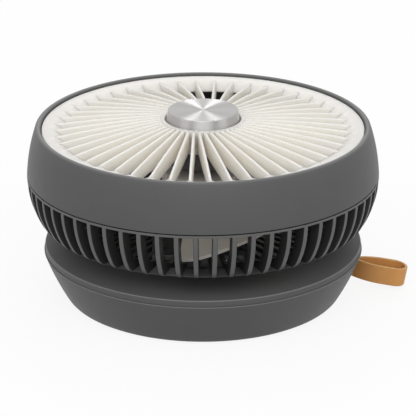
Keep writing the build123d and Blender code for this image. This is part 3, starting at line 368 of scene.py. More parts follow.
class Finish(Nodes):
    """A material whose marks have places in the object's own coordinates."""

    def __init__(self, name):
        self.material = bpy.data.materials.new(name)
        self.material.use_nodes = True
        super().__init__(self.material.node_tree)
        self.shader = self.tree.nodes["Principled BSDF"]
        self.place = self.node("TexCoord", output="Object")

    def surface(self, **sockets):
        """Feed the shader's own sockets."""
        for name, value in sockets.items():
            self.feed(self.shader.inputs[name.replace("_", " ")], value)
        return self.material

    def noise(self, grain, detail=2.0, place=None):
        """Noise whose grains have a size in metres."""
        inputs = {"Vector": place or self.place, "Scale": 1 / grain, "Detail": detail, "Roughness": 0.55}
        return self.node("TexNoise", None, inputs, "Fac")

    def cells(self, grain, feature="F1", place=None):
        """Distance to the nearest point, or edge, of cells of a size in metres."""
        inputs = {"Vector": place or self.place, "Scale": 1 / grain}
        return self.node("TexVoronoi", {"feature": feature}, inputs, "Distance")

    def mix(self, share, first, second):
        """Blend of two colours."""
        return self.node("Mix", {"data_type": "RGBA"}, {0: share, 6: first, 7: second}, 2)

    def vector(self, operation, *values, output=0):
        """Result of a vector maths node."""
        return self.node("VectorMath", {"operation": operation}, dict(enumerate(values)), output)

    def ramp(self, value, start, end):
        """0 up to a start, 1 from an end on, and even in between."""
        return self.node("MapRange", None, {"Value": value, "From Min": start, "From Max": end})

    def normal(self):
        """The way that the surface faces."""
        return self.node("TexCoord", output="Normal")

    def part(self, axis, vector=None):
        """One coordinate of the place, or of another vector."""
        return self.node("SeparateXYZ", None, {"Vector": vector or self.place}, axis)

    def radius(self):
        """Distance from Z."""
        return (self.part(0) * self.part(0) + self.part(1) * self.part(1)) ** 0.5

    def near_ring(self, radius, height, reach):
        """1 on a circle about Z, and 0 beyond a reach from it."""
        out = self.radius() - radius
        rise = self.part(2) - height
        gap = (out * out + rise * rise) ** 0.5
        inputs = {"Value": gap, "From Min": 0.0, "From Max": reach, "To Min": 1.0, "To Max": 0.0}
        return self.node("MapRange", {"interpolation_type": "SMOOTHSTEP"}, inputs)

    def glow(self, share):
        """Show the surface partly as plain white to the camera, reflections and views through glass."""
        white = self.node("Emission", None, {"Color": (1.0, 1.0, 1.0), "Strength": 1.0})
        own = Value(self, self.shader.outputs[0])
        mixed = self.node("MixShader", None, {0: share * self.seen(), 1: own, 2: white})
        self.feed(self.tree.nodes["Material Output"].inputs["Surface"], mixed)

    def bump(self, height, depth):
        """Normal of a surface with heights of a depth in metres."""
        return self.node("Bump", None, {"Height": height, "Distance": depth}, "Normal")


def shade(tint, amount):
    """A colour made lighter or darker."""
    return tuple(min(1.0, part * amount) for part in tint)


def moulded(
    name,
    tint,
    roughness,
    grain=GRAIN,
    depth=0.00004,
    mottle=0.06,
    gloss=0.5,
    milky=0.0,
    highlight_rings=(),
    top_tint=None,
    top_from=None,
    slot_shade_tint=None,
):
    """Moulded plastic: eroded grain, flow marks, an uneven sheen and painted highlights along some rings.

    Milky plastic lets light in. A ring of painted highlight has a radius, a height and a reach. Upper faces
    may have their own tint, painted light or shade, which takes over all faces from one radius to another.
    The sides of slots may be painted darker, a painted shade: they face across the way out of the middle.
    """
    finish = Finish(name)
    flow = finish.noise(FLOW, 3.0)
    sheen = finish.noise(SHEEN, 4.0)
    pits = finish.noise(grain)
    face = finish.mix(flow, shade(tint, 1 - mottle), shade(tint, 1 + mottle))
    # Painted light or shade: upper faces take a tint of their own
    if top_tint:
        upper = finish.ramp(finish.part(2, finish.normal()), *UPPER)
        if top_from:
            upper = upper.larger(finish.ramp(finish.radius(), *top_from))
        face = finish.mix(upper, face, top_tint)
    # Painted shade: the sides of slots take a darker tint
    if slot_shade_tint:
        way = finish.vector("NORMALIZE", finish.vector("SUBTRACT", finish.place, SLOTS_MIDDLE))
        facing = finish.vector("DOT_PRODUCT", finish.normal(), way, output=1)
        face = finish.mix(finish.ramp(facing * facing, *OPEN_SIDE), slot_shade_tint, face)
    # Painted highlights: pale rings along rounded edges, where light would catch
    for radius, height, reach in highlight_rings:
        highlight = finish.near_ring(radius, height, reach)
        face = finish.mix(highlight * (0.75 + 0.5 * sheen), face, shade(tint, PAINTED_HIGHLIGHT))
    return finish.surface(
        Base_Color=face,
        Roughness=roughness + 0.10 * (sheen - 0.5) + 0.08 * (pits - 0.5),
        Normal=finish.bump(pits, depth),
        Specular_IOR_Level=gloss,
        Subsurface_Weight=milky,
        Subsurface_Radius=(1.0, 0.95, 0.90),
        Subsurface_Scale=MILKY_DEPTH,
    )


def spun_metal(name, tint):
    """Aluminium turned on a lathe: fine grooves round the middle of a slightly hollow face."""
    finish = Finish(name)
    normal = finish.normal()
    x, y, z = [finish.part(axis) for axis in range(3)]
    radius = finish.radius()
    along = finish.node("CombineXYZ", None, {0: 0 - y / radius, 1: x / radius, 2: 0.0})
    across = finish.vector("CROSS_PRODUCT", along, normal)
    turns = (radius - z) / GROOVE
    groove, band = [
        finish.node(
            "TexNoise", {"noise_dimensions": "1D"}, {"W": turns, "Scale": scale, "Detail": detail}, "Fac"
        )
        for scale, detail in ((1.0, 3.0), (0.06, 2.0))
    ]
    lean = (GROOVE_TILT * (groove - 0.5) - HOLLOW) * finish.part(2, normal)
    tilt = finish.node("VectorMath", {"operation": "SCALE"}, {0: across, "Scale": lean})
    world = finish.node(
        "VectorTransform",
        {"vector_type": "NORMAL", "convert_from": "OBJECT", "convert_to": "WORLD"},
        {0: finish.vector("ADD", normal, tilt)},
    )
    return finish.surface(
        Base_Color=finish.mix(band, shade(tint, 0.94), shade(tint, 1.06)),
        Metallic=1.0,
        Roughness=0.29 + 0.06 * band,
        Anisotropic=0.96,
        Anisotropic_Rotation=0.25,
        Normal=world,
    )


def tan_leather(name, tint, edge_tint, droop, root, tip):
    """Smooth leather with pores and soft creases, shade painted darker at its root, fibrous along its edges.
    """
    finish = Finish(name)
    level = finish.node(
        "Mapping", {"vector_type": "POINT"}, {"Vector": finish.place, "Rotation": (0.0, -droop, 0.0)}
    )
    upright = (sin(droop), 0.0, cos(droop))
    facing = finish.vector("DOT_PRODUCT", finish.normal(), upright, output=1)
    cut = facing * facing > CUT_EDGE
    cloud = finish.noise(0.0060, 3.0, level)
    pores = finish.cells(0.00055, place=level)
    creases = finish.cells(0.0011, "DISTANCE_TO_EDGE", level)
    fibres = finish.noise(0.00030, 4.0, level)
    # Painted shade: darker towards the root, where the base shades the loop, paler towards the tip
    out = finish.ramp(finish.part(0), root, tip)
    face = finish.mix(0.7 * out + 0.3 * cloud, shade(tint, 0.80), shade(tint, 1.32))
    worn = finish.mix(fibres, shade(edge_tint, 0.78), shade(edge_tint, 1.12))
    grain = 0.5 * pores + 0.8 * creases + 0.35 * fibres
    return finish.surface(
        Base_Color=finish.mix(cut, face, worn),
        Roughness=0.50 + 0.16 * (fibres - 0.5) + 0.25 * cut,
        Normal=finish.bump(grain, 0.00012),
    )


def bright_metal(name, tint, roughness):
    """Plated or plain metal with fine scratches."""
    finish = Finish(name)
    scratches = finish.noise(0.00025, 4.0)
    clouds = finish.noise(0.0040, 2.0)
    return finish.surface(
        Base_Color=finish.mix(clouds, shade(tint, 0.90), shade(tint, 1.08)),
        Metallic=1.0,
        Roughness=roughness + 0.14 * (scratches - 0.5),
        Normal=finish.bump(scratches, 0.00001),
    )


FINISHES = {}


def make_finishes(scene):
    """Every finish of the fan, by the record's slot names."""
    colours = scene.fan_colours
    base = scene.fan_base
    lip_radius = high("front_grille").x + scene.fan_grille.gap + scene.fan_head.lip_width / 2
    # Rings of painted highlight: the housing's lip and both edges of the base's band
    highlight_rings = [
        (lip_radius, high("head_housing").z, LIP_HIGHLIGHT),
        (high("base_cover").x - base.ledge, high("base_cover").z, EDGE_HIGHLIGHT),
        (high("base_bowl").x, high("base_bowl").z + base.rim_lift, EDGE_HIGHLIGHT),
    ]
    loop = (scene.fan_loop.droop, high("base_bowl").x, high("leather_loop").x)
    coarse = {"grain": 0.0006, "depth": 0.00006}
    FINISHES.update(
        # Grey shells: painted highlights along their rings, and painted light on their upper faces
        grey_shell=moulded(
            "grey_moulding", colours.shell, 0.50, gloss=0.34, highlight_rings=highlight_rings, top_tint=colours.shell_lit_top
        ),
        # Slotted back: the sides of its slots are painted dark, a painted shade
        grey_slots=moulded("slotted_moulding", colours.ribs, 0.50, slot_shade_tint=colours.shell_slot_shade),
        # Cream grille: its upright vane sides are painted lighter than its tops, a painted light
        cream_grille=moulded(
            "cream_moulding",
            colours.cream_lit_side,
            0.42,
            depth=0.000012,
            mottle=0.012,
            milky=0.75,
            top_tint=colours.cream,
            top_from=CREAM_TOP,
        ),
        impeller_plastic=moulded("impeller_moulding", colours.impeller, 0.46, depth=0.00002, mottle=0.04),
        inner_plastic=moulded("inner_moulding", colours.inner, 0.45, mottle=0.03),
        pad_rubber=moulded("foot_rubber", colours.rubber, 0.80, grain=0.0008, depth=0.00008, mottle=0.12),
        lead=moulded("lead_insulation", colours.lead, 0.55, mottle=0.08),
        board=moulded("circuit_board", colours.board, 0.35, grain=0.0007, depth=0.00003, mottle=0.15),
        cell_wrap=moulded("cell_sleeve", colours.sleeve, 0.30, mottle=0.05),
        motor_core=moulded("motor_core", colours.core, 0.40, mottle=0.15, **coarse),
        dark_steel=moulded("black_powder_coat", colours.black_steel, 0.66, gloss=0.25, **coarse),
        plated_steel=bright_metal("plated_steel", colours.steel, 0.32),
        bronze=bright_metal("sintered_bronze", colours.bronze, 0.42),
        brushed_disc=spun_metal("spun_disc", colours.disc),
        tan_leather=tan_leather("tan_leather", colours.leather, colours.leather_edge, *loop),
    )


# Shaping

def swollen(start, end, swell, steps):
    """Points on the arc between two points of an outline that swells past its chord, to the right."""
    start, end = Vector(start), Vector(end)
    chord = end - start
    radius = (chord.length_squared / 4 + swell**2) / (2 * swell)
    left = Vector((-chord.y, chord.x)).normalized()
    centre = (start + end) / 2 + left * (radius - swell)
    first = (start - centre).angle_signed((end - centre))
    return [
        tuple(centre + (Matrix.Rotation(-first * k / steps, 2) @ (start - centre))) for k in range(steps + 1)
    ]


def arc(centre, radius, start, end, steps):
    """Points on an arc of an outline, between two angles."""
    turns = [start + (end - start) * k / steps for k in range(steps + 1)]
    return [(centre[0] + radius * cos(turn), centre[1] + radius * sin(turn)) for turn in turns]


def soften(bm, edges, radius, steps=3):
    """Round some edges off."""
    bmesh.ops.bevel(
        bm,
        geom=edges,
        offset=radius,
        affect="EDGES",
        segments=steps,
        profile=0.5,
        material=-1,
        clamp_overlap=True,
    )


def run_of(edge):
    """Vector from one end of an edge to the other."""
    return edge.verts[1].co - edge.verts[0].co


def turned(outline, rounds=(), steps=240):
    """Solid of an outline in the XZ plane, turned about Z. If it starts on the axis, it ends there too."""
    bm = bmesh.new()
    corners = [bm.verts.new((x, 0.0, z)) for x, z in outline]
    pairs = list(zip(corners, corners[1:]))
    if outline[0][0] > 0:
        pairs.append((corners[-1], corners[0]))
    lines = [bm.edges.new(pair) for pair in pairs]
    bmesh.ops.spin(
        bm, geom=corners + lines, cent=(0, 0, 0), axis=(0, 0, 1), angle=tau, steps=steps, use_merge=True
    )
    bmesh.ops.remove_doubles(bm, verts=bm.verts[:], dist=WELD)
    bmesh.ops.dissolve_degenerate(bm, edges=bm.edges[:], dist=WELD)
    bmesh.ops.recalc_face_normals(bm, faces=bm.faces[:])
    for (x, z), radius in rounds:
        ring = [edge for edge in bm.edges if all(on_ring(vert.co, x, z) for vert in edge.verts)]
        soften(bm, ring, radius)
    return bm


def on_ring(point, radius, height):
    """Whether a point lies on a circle about Z."""
    return abs(point.z - height) < ON_RING and abs(point.xy.length - radius) < ON_RING


def slab(outline, thickness):
    """Solid of an outline in the XZ plane, as thick as told, with its middle on that plane."""
    bm = bmesh.new()
    face = bm.faces.new([bm.verts.new((x, -thickness / 2, z)) for x, z in outline])
    grown = bmesh.ops.extrude_face_region(bm, geom=[face])["geom"]
    moved = [item for item in grown if isinstance(item, bmesh.types.BMVert)]
    bmesh.ops.translate(bm, verts=moved, vec=(0, thickness, 0))
    bmesh.ops.recalc_face_normals(bm, faces=bm.faces[:])
    return bm


def block(low_corner, high_corner, radius=0.0):
    """Box between two corners, with its edges rounded off."""
    low_corner, high_corner = Vector(low_corner), Vector(high_corner)
    bm = bmesh.new()
    bmesh.ops.create_cube(bm, size=1.0)
    bmesh.ops.scale(bm, verts=bm.verts[:], vec=high_corner - low_corner)
    bmesh.ops.translate(bm, verts=bm.verts[:], vec=(low_corner + high_corner) / 2)
    if radius:
        soften(bm, bm.edges[:], radius)
    return bm


def ring_of(bm, count, first=0.0):
    """Repeat a shape evenly round Z."""
    bmesh.ops.rotate(bm, verts=bm.verts[:], cent=(0, 0, 0), matrix=Matrix.Rotation(first, 3, "Z"))
    bmesh.ops.spin(
        bm,
        geom=bm.verts[:] + bm.edges[:] + bm.faces[:],
        cent=(0, 0, 0),
        axis=(0, 0, 1),
        angle=tau * (count - 1) / count,
        steps=count - 1,
        use_duplicate=True,
    )
    return bm


def gather(*shapes):
    """Put several shapes in one."""
    whole = shapes[0]
    for shape in shapes[1:]:
        spare = bpy.data.meshes.new("spare")
        shape.to_mesh(spare)
        shape.free()
        whole.from_mesh(spare)
        bpy.data.meshes.remove(spare)
    return whole


def as_mesh(bm):
    """Finished mesh, smooth but for its sharp edges."""
    mesh = bpy.data.meshes.new("shape")
    bm.to_mesh(mesh)
    bm.free()
    mesh.shade_smooth()
    mesh.set_sharp_from_angle(angle=SHARP_ANGLE)
    return mesh


def cut_away(mesh, *cutters):
    """A mesh with openings cut through it."""
    whole = bpy.data.objects.new("whole", mesh)
    bpy.context.scene.collection.objects.link(whole)
    tools = []
    for cutter in cutters:
        tool = bpy.data.objects.new("cutter", as_mesh(cutter))
        bpy.context.scene.collection.objects.link(tool)
        modifier = whole.modifiers.new("opening", "BOOLEAN")
        modifier.operation = "DIFFERENCE"
        modifier.solver = "EXACT"
        modifier.object = tool
        tools.append(tool)
    bpy.context.view_layer.update()
    opened = bpy.data.meshes.new_from_object(whole.evaluated_get(bpy.context.evaluated_depsgraph_get()))
    for item in (whole, *tools):
        spare = item.data
        bpy.data.objects.remove(item)
        bpy.data.meshes.remove(spare)
    opened.set_sharp_from_angle(angle=SHARP_ANGLE)
    return opened


def add_piece(name, mesh, body, slot, *nodes, finish=None):
    """Show a finished mesh as a piece that rides on a body and stands for its solids."""
    mesh.name = name
    mesh.materials.clear()
    mesh.materials.append(FINISHES[finish or slot])
    piece = bpy.data.objects.new(name, mesh)
    bpy.context.scene.collection.objects.link(piece)
    weighted = piece.modifiers.new("even shading", "WEIGHTED_NORMAL")
    weighted.keep_sharp = True
    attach(piece, body)
    if nodes:
        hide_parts(*nodes)
    return piece


def softened(node, radius):
    """Copy of a solid with its sharp edges rounded off."""
    bm = bmesh.new()
    bm.from_mesh(frame["nodes"][node].data)
    bmesh.ops.remove_doubles(bm, verts=bm.verts[:], dist=WELD)
    bmesh.ops.dissolve_limit(bm, angle_limit=FLAT_ANGLE, verts=bm.verts[:], edges=bm.edges[:])
    sharp = [edge for edge in bm.edges if edge.is_manifold and edge.calc_face_angle(0.0) > SHARP_ANGLE]
    soften(bm, sharp, radius, steps=2)
    return bm


# Operators

class FAN_OT_base(bpy.types.Operator):
    """Build the base's bowl, its cover and the rubber pad under it"""

    bl_idname = "fan.base"
    bl_label = "Base"

    def execute(self, context):
        sizes = context.scene.fan_base
        loop = context.scene.fan_loop
        foot_z = low("base_bowl").z - sizes.foot_drop
        rim_z = high("base_bowl").z + sizes.rim_lift
        rim_radius = high("base_bowl").x
        top_z = high("base_cover").z
        cover_radius = high("base_cover").x - sizes.ledge
        pad_z = high("foot_pad").z
        pad_radius = high("foot_pad").x

        side = bowl_side(sizes)
        floor_z = low("base_bowl").z + sizes.wall
        inner_rim = rim_radius - sizes.wall * RIM_SLANT
        inner_foot = sizes.foot_radius - sizes.wall * FOOT_SLANT
        inside = swollen((inner_foot, floor_z), (inner_rim, rim_z), sizes.swell, steps=6)
        recess = pad_radius + sizes.seam
        outline = [(0, pad_z), (recess, pad_z), (recess, foot_z), *side, *reversed(inside), (0, floor_z)]
        bowl = turned(outline, [(side[0], sizes.foot_round), (side[-1], sizes.rim_round)])
        mouth_low = low("charge_socket")
        mouth_high = high("charge_socket")
        margin = sizes.mouth_margin
        mouth = block(
            (mouth_low.x - margin, mouth_high.y - sizes.mouth_depth, mouth_low.z - margin),
            (mouth_high.x + margin, rim_radius, mouth_high.z + margin),
        )
        inward = [edge for edge in mouth.edges if abs(abs(run_of(edge).y) - run_of(edge).length) < WELD]
        soften(mouth, inward, sizes.mouth_round, steps=6)
        slot = block(
            (-sizes.slot_reach, -loop.thickness - sizes.seam, -loop.width / 2 - sizes.seam),
            (sizes.slot_reach, loop.thickness + sizes.seam, loop.width / 2 + sizes.seam),
        )
        bmesh.ops.transform(slot, matrix=loop_frame(context), verts=slot.verts[:])
        mesh = cut_away(as_mesh(bowl), mouth, slot)
        add_piece("base_bowl_shell", mesh, "base", "grey_shell", "base_bowl")

        band_z = rim_z + sizes.seam
        spigot = radius_at(inside, band_z - sizes.spigot_depth) - sizes.seam
        under_z = top_z - sizes.cover_wall
        outline = [
            (0, top_z),
            (cover_radius, top_z),
            (cover_radius, band_z),
            (spigot, band_z),
            (spigot, band_z - sizes.spigot_depth),
            (spigot - sizes.spigot_wall, band_z - sizes.spigot_depth),
            (spigot - sizes.spigot_wall, under_z),
            (0, under_z),
        ]
        cover = turned(outline, [(outline[1], sizes.band_round), (outline[2], sizes.band_foot_round)])
        mesh = ear_slots(cover, "base_hinge_bracket", top_z)
        add_piece("base_cover_shell", mesh, "base", "grey_shell", "base_cover")

        outline = [(0, 0), (pad_radius, 0), (pad_radius, pad_z), (0, pad_z)]
        pad = turned(outline, [(outline[1], sizes.pad_edge)])
        add_piece("foot_pad_disc", as_mesh(pad), "base", "pad_rubber", "foot_pad")
        return {"FINISHED"}


def bowl_side(sizes):
    """Outline of the bowl's side, from its foot to its rim."""
    foot = (sizes.foot_radius, low("base_bowl").z - sizes.foot_drop)
    rim = (high("base_bowl").x, high("base_bowl").z + sizes.rim_lift)
    return swollen(foot, rim, sizes.swell, steps=6)


def radius_at(points, height):
    """Radius of an outline at a height."""
    for (x0, z0), (x1, z1) in zip(points, points[1:]):
        if min(z0, z1) <= height <= max(z0, z1):
            return x0 + (x1 - x0) * (height - z0) / (z1 - z0)
    raise ValueError("the outline doesn't reach that height")


def height_at(points, radius):
    """Height of an outline at a radius."""
    return radius_at([(z, x) for x, z in points], radius)


def ear_slots(bm, bracket, wall_z):
    """A wall with the two openings that a hinge bracket's ears pass through."""
    pin_low, pin_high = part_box(bracket.replace("bracket", "pin"))
    ear_outer = pin_high.x
    ear_inner = high("hinge_washers").x
    hinge_y = (pin_low.y + pin_high.y) / 2
    half = (high("arm_shell").z - low("arm_shell").z) / 2
    cutters = []
    for side in (-1, 1):
        ends = sorted((side * (ear_inner - EAR_GAP), side * (ear_outer + EAR_GAP)))
        near = (ends[0], hinge_y - half - EAR_GAP, wall_z - CUT_REACH)
        far = (ends[1], hinge_y + half + EAR_GAP, wall_z + CUT_REACH)
        cutters.append(block(near, far))
    return cut_away(as_mesh(bm), *cutters)


class FAN_OT_housing(bpy.types.Operator):
    """Build the smooth ring of the head, with the ledge that the front grille sits on"""

    bl_idname = "fan.housing"
    bl_label = "Head housing"

    def execute(self, context):
        sizes = context.scene.fan_head
        grille = context.scene.fan_grille
        foot_z = low("head_housing").z
        lip_z = high("head_housing").z
        radius = high("head_housing").x
        lip_inner = high("front_grille").x + grille.gap
        ledge_z = lip_z - grille.recess - grille.rim_height
        ledge_under = ledge_z - sizes.ledge_wall
        side = swollen((radius, foot_z), (lip_inner + sizes.lip_width, lip_z), sizes.swell, steps=9)
        inside = [(x - sizes.wall, z) for x, z in side if z < ledge_under]
        outline = [
            *side,
            (lip_inner, lip_z),
            (lip_inner, ledge_z),
            (lip_inner - sizes.ledge_reach, ledge_z),
            (lip_inner - sizes.ledge_reach, ledge_under),
            (radius_at(side, ledge_under) - sizes.wall, ledge_under),
            *reversed(inside),
        ]
        rounds = [
            (side[-1], sizes.lip_round),
            ((lip_inner, lip_z), sizes.lip_round),
            (side[0], sizes.foot_round),
        ]
        ring = turned(outline, rounds)
        add_piece("head_housing_ring", as_mesh(ring), "head", "grey_shell", "head_housing")
        return {"FINISHED"}


class FAN_OT_rear_grille(bpy.types.Operator):
    """Build the slotted back of the head: band, ribs, the ring behind them and the middle plate"""

    bl_idname = "fan.rear_grille"
    bl_label = "Rear grille"

    def execute(self, context):
        sizes = context.scene.fan_head
        back_z = low("rear_grille").z
        top_z = low("head_housing").z - sizes.seam
        radius = high("head_housing").x
        drop = top_z - back_z - sizes.corner * (1 - sin(sizes.flank_turn))
        flank = drop / sin(sizes.flank_turn)
        flank_centre = (radius - flank, top_z)
        corner_centre = (
            radius - flank * (1 - cos(sizes.flank_turn)) - sizes.corner * cos(sizes.flank_turn),
            back_z + sizes.corner,
        )
        turn = -sizes.flank_turn
        floor_z = back_z + sizes.floor
        inner_end = sizes.plate_radius - sizes.rib_width
        rib = slab(
            [
                *arc(flank_centre, flank, 0, turn, steps=8),
                *arc(corner_centre, sizes.corner, turn, -pi / 2, steps=8)[1:],
                (inner_end, back_z),
                (inner_end, floor_z),
                (corner_centre[0] - sizes.rib_taper, floor_z),
                *arc(corner_centre, sizes.corner - sizes.rib_depth, -pi / 2, turn, steps=6),
                *arc(flank_centre, flank - sizes.rib_depth, turn, 0, steps=6)[1:],
            ],
            sizes.rib_width,
        )
        rims = [edge for edge in rib.edges if abs(run_of(edge).y) < WELD]
        soften(rib, rims, sizes.rib_round, steps=2)
        ribs = ring_of(rib, sizes.rib_count, sizes.rib_first)

        spigot = radius - sizes.wall - sizes.spigot_gap
        band_side = arc(flank_centre, flank, -sizes.band / flank, 0, steps=3)
        outline = [
            *band_side,
            (spigot, top_z),
            (spigot, top_z + sizes.spigot_height),
            (spigot - sizes.spigot_wall, top_z + sizes.spigot_height),
            (spigot - sizes.spigot_wall, band_side[0][1]),
        ]
        band = turned(outline, [(band_side[0], sizes.band_round), (band_side[-1], sizes.band_round)])

        ring_outer = sizes.corner - sizes.ring_inset
        ring_z = back_z + sizes.ring_height
        ring_end = asin((ring_z - corner_centre[1]) / ring_outer)
        ring_side = arc(corner_centre, ring_outer, -pi / 2, ring_end, steps=6)
        ring_inner = corner_centre[0] - sizes.ring_width
        outline = [(ring_inner, ring_side[0][1]), *ring_side, (ring_inner, ring_side[-1][1])]
        ring = turned(outline, [(ring_side[-1], sizes.ring_round)])

        outline = [(0, back_z), (sizes.plate_radius, back_z), (sizes.plate_radius, floor_z), (0, floor_z)]
        plate = turned(outline, [(corner, sizes.plate_round) for corner in outline[1:3]])
        bracket_low, bracket_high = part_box("head_hinge_bracket")
        margin = sizes.pad_margin
        pad = block(
            (bracket_low.x - margin, bracket_low.y - margin, back_z),
            (bracket_high.x + margin, bracket_high.y + margin, floor_z),
            sizes.plate_round,
        )
        pad_mesh = ear_slots(pad, "head_hinge_bracket", back_z)
        plate_mesh = ear_slots(plate, "head_hinge_bracket", back_z)
        add_piece("rear_ribs", as_mesh(ribs), "head", "grey_shell", "rear_grille", finish="grey_slots")
        add_piece("rear_band", as_mesh(band), "head", "grey_shell", finish="grey_slots")
        add_piece("rear_ring", as_mesh(ring), "head", "grey_shell")
        add_piece("rear_plate", plate_mesh, "head", "grey_shell", finish="grey_slots")
        add_piece("rear_hinge_pad", pad_mesh, "head", "grey_shell")
        return {"FINISHED"}


class FAN_OT_front_grille(bpy.types.Operator):
    """Build the cream front grille: rim, hub and the vanes that run between them beside the radius"""

    bl_idname = "fan.front_grille"
    bl_label = "Front grille"

    def execute(self, context):
        sizes = context.scene.fan_grille
        lip_z = high("head_housing").z
        rim_radius = high("front_grille").x
        rim_z = lip_z - sizes.recess
        rim_foot = rim_z - sizes.rim_height
        rim_inner = rim_radius - sizes.rim_width
        land = rim_radius - sizes.dish_land
        run = sizes.dish_reach - sizes.dish_land
        lean = sizes.dish_lean
        curl = 2 * (atan2(sizes.dish_drop, run) - lean)
        bend = sqrt(run**2 + sizes.dish_drop**2) / (2 * sin(curl / 2))
        middle = (land + bend * sin(lean), rim_z - bend * cos(lean))
        dish = arc(middle, bend, pi / 2 + lean, pi / 2 + lean + curl, steps=14)
        dish_radius, dish_z = dish[-1]
        outline = [
            (rim_radius, rim_z),
            *dish,
            (dish_radius, dish_z - sizes.dish_edge),
            (rim_inner, rim_foot),
            (rim_radius, rim_foot),
        ]
        rounds = [(outline[0], sizes.rim_outer_round), (dish[-1], sizes.dish_round)]
        rim = turned(outline, rounds, steps=sizes.vane_count * STEPS_PER_VANE)

        hub_z = high("front_grille").z
        well = high("power_button").x + sizes.hub_gap
        hub_radius = well + sizes.hub_wall
        hub_foot = hub_z - sizes.hub_height
        floor_z = high("power_button").z - sizes.button_height - sizes.well_room
        collar_inner = sizes.stem_radius + sizes.stem_gap
        collar_outer = sizes.stem_radius + sizes.collar
        collar_z = low("power_button").z + sizes.collar_lift
        outline = [
            (well, hub_foot),
            (hub_radius, hub_foot),
            (hub_radius, hub_z),
            (well, hub_z),
            (well, floor_z),
            (collar_inner, floor_z),
            (collar_inner, collar_z),
            (collar_outer, collar_z),
            (collar_outer, floor_z - sizes.well_floor),
            (well, floor_z - sizes.well_floor),
        ]
        hub = turned(outline, [(corner, sizes.hub_round) for corner in outline[2:4]])

        start = well + sizes.hub_wall / 2
        end = rim_inner + sizes.rim_width / 2
        crest = swollen((end, rim_z - sizes.vane_drop), (start, hub_z), sizes.vane_swell, steps=14)
        vane = slab([(start, hub_z - sizes.vane_depth), (end, rim_foot), *crest], sizes.vane_crest)
        self.fillet(rim, sizes, dish, crest)
        crest_foot = rim_z - sizes.vane_drop - WELD
        tops = [
            edge
            for edge in vane.edges
            if all(vert.co.z > crest_foot for vert in edge.verts) and abs(run_of(edge).y) < WELD
        ]
        soften(vane, tops, sizes.vane_round)
        for vert in vane.verts:
            if vert.co.z < rim_z - sizes.vane_flare:
                vert.co.y *= sizes.vane_foot / sizes.vane_crest
        bmesh.ops.translate(vane, verts=vane.verts[:], vec=(0, -sizes.vane_offset, 0))
        vanes = ring_of(vane, sizes.vane_count, sizes.vane_first)
        add_piece("front_vanes", as_mesh(vanes), "head", "cream_grille", "front_grille")
        add_piece("front_rim", as_mesh(gather(rim, hub)), "head", "cream_grille")
        return {"FINISHED"}

    @staticmethod
    def fillet(rim, sizes, dish, crest):
        """Raise the dish in a soft hollow curve beside each vane that stands out of it."""
        pitch = tau / sizes.vane_count
        for vert in rim.verts:
            radius = vert.co.xy.length
            if not dish[-1][0] < radius < crest[0][0]:
                continue
            surface_z = height_at(dish, radius)
            if abs(vert.co.z - surface_z) > ON_RING:
                continue
            stand = height_at(crest, radius) - surface_z
            vane_angle = sizes.vane_first - asin(sizes.vane_offset / radius)
            turn = atan2(vert.co.y, vert.co.x) - vane_angle
            beside = abs((turn / pitch + 0.5) % 1.0 - 0.5) * pitch * radius
            share = 1 - min(beside / (sizes.vane_crest / 2 + sizes.vane_fillet), 1.0)
            fade = min((radius - dish[-1][0]) / sizes.fillet_fade, 1.0)
            rise = fade * min(max(stand + sizes.vane_cover, 0.0), sizes.vane_fillet)
            vert.co.z += rise * share**2 * (3 - 2 * share)


class FAN_OT_button(bpy.types.Operator):
    """Build the spun metal push button"""

    bl_idname = "fan.button"
    bl_label = "Button"

    def execute(self, context):
        sizes = context.scene.fan_grille
        top_z = high("power_button").z
        foot_radius = high("power_button").x
        stem_z = low("power_button").z
        top_radius = foot_radius - sizes.button_slope
        foot_z = top_z - sizes.button_height
        outline = [
            (0, top_z),
            (top_radius, top_z),
            (foot_radius, foot_z),
            (foot_radius - sizes.button_wall, foot_z),
            (top_radius - sizes.button_wall, top_z - sizes.button_wall),
            (sizes.stem_radius, top_z - sizes.button_wall),
            (sizes.stem_radius, stem_z),
            (0, stem_z),
        ]
        disc = turned(outline, [(outline[1], sizes.button_edge)])
        add_piece("button_disc", as_mesh(disc), "button", "brushed_disc", "power_button")
        return {"FINISHED"}


def loop_frame(context):
    """Place of the loop's root: X runs out along the loop, Z across the band."""
    base = context.scene.fan_base
    loop = context.scene.fan_loop
    root_x = radius_at(bowl_side(base), loop.root_height) + loop.root_out
    root = Vector((root_x, loop.root_side, loop.root_height))
    return Matrix.Translation(root) @ Matrix.Rotation(loop.droop, 4, "Y")


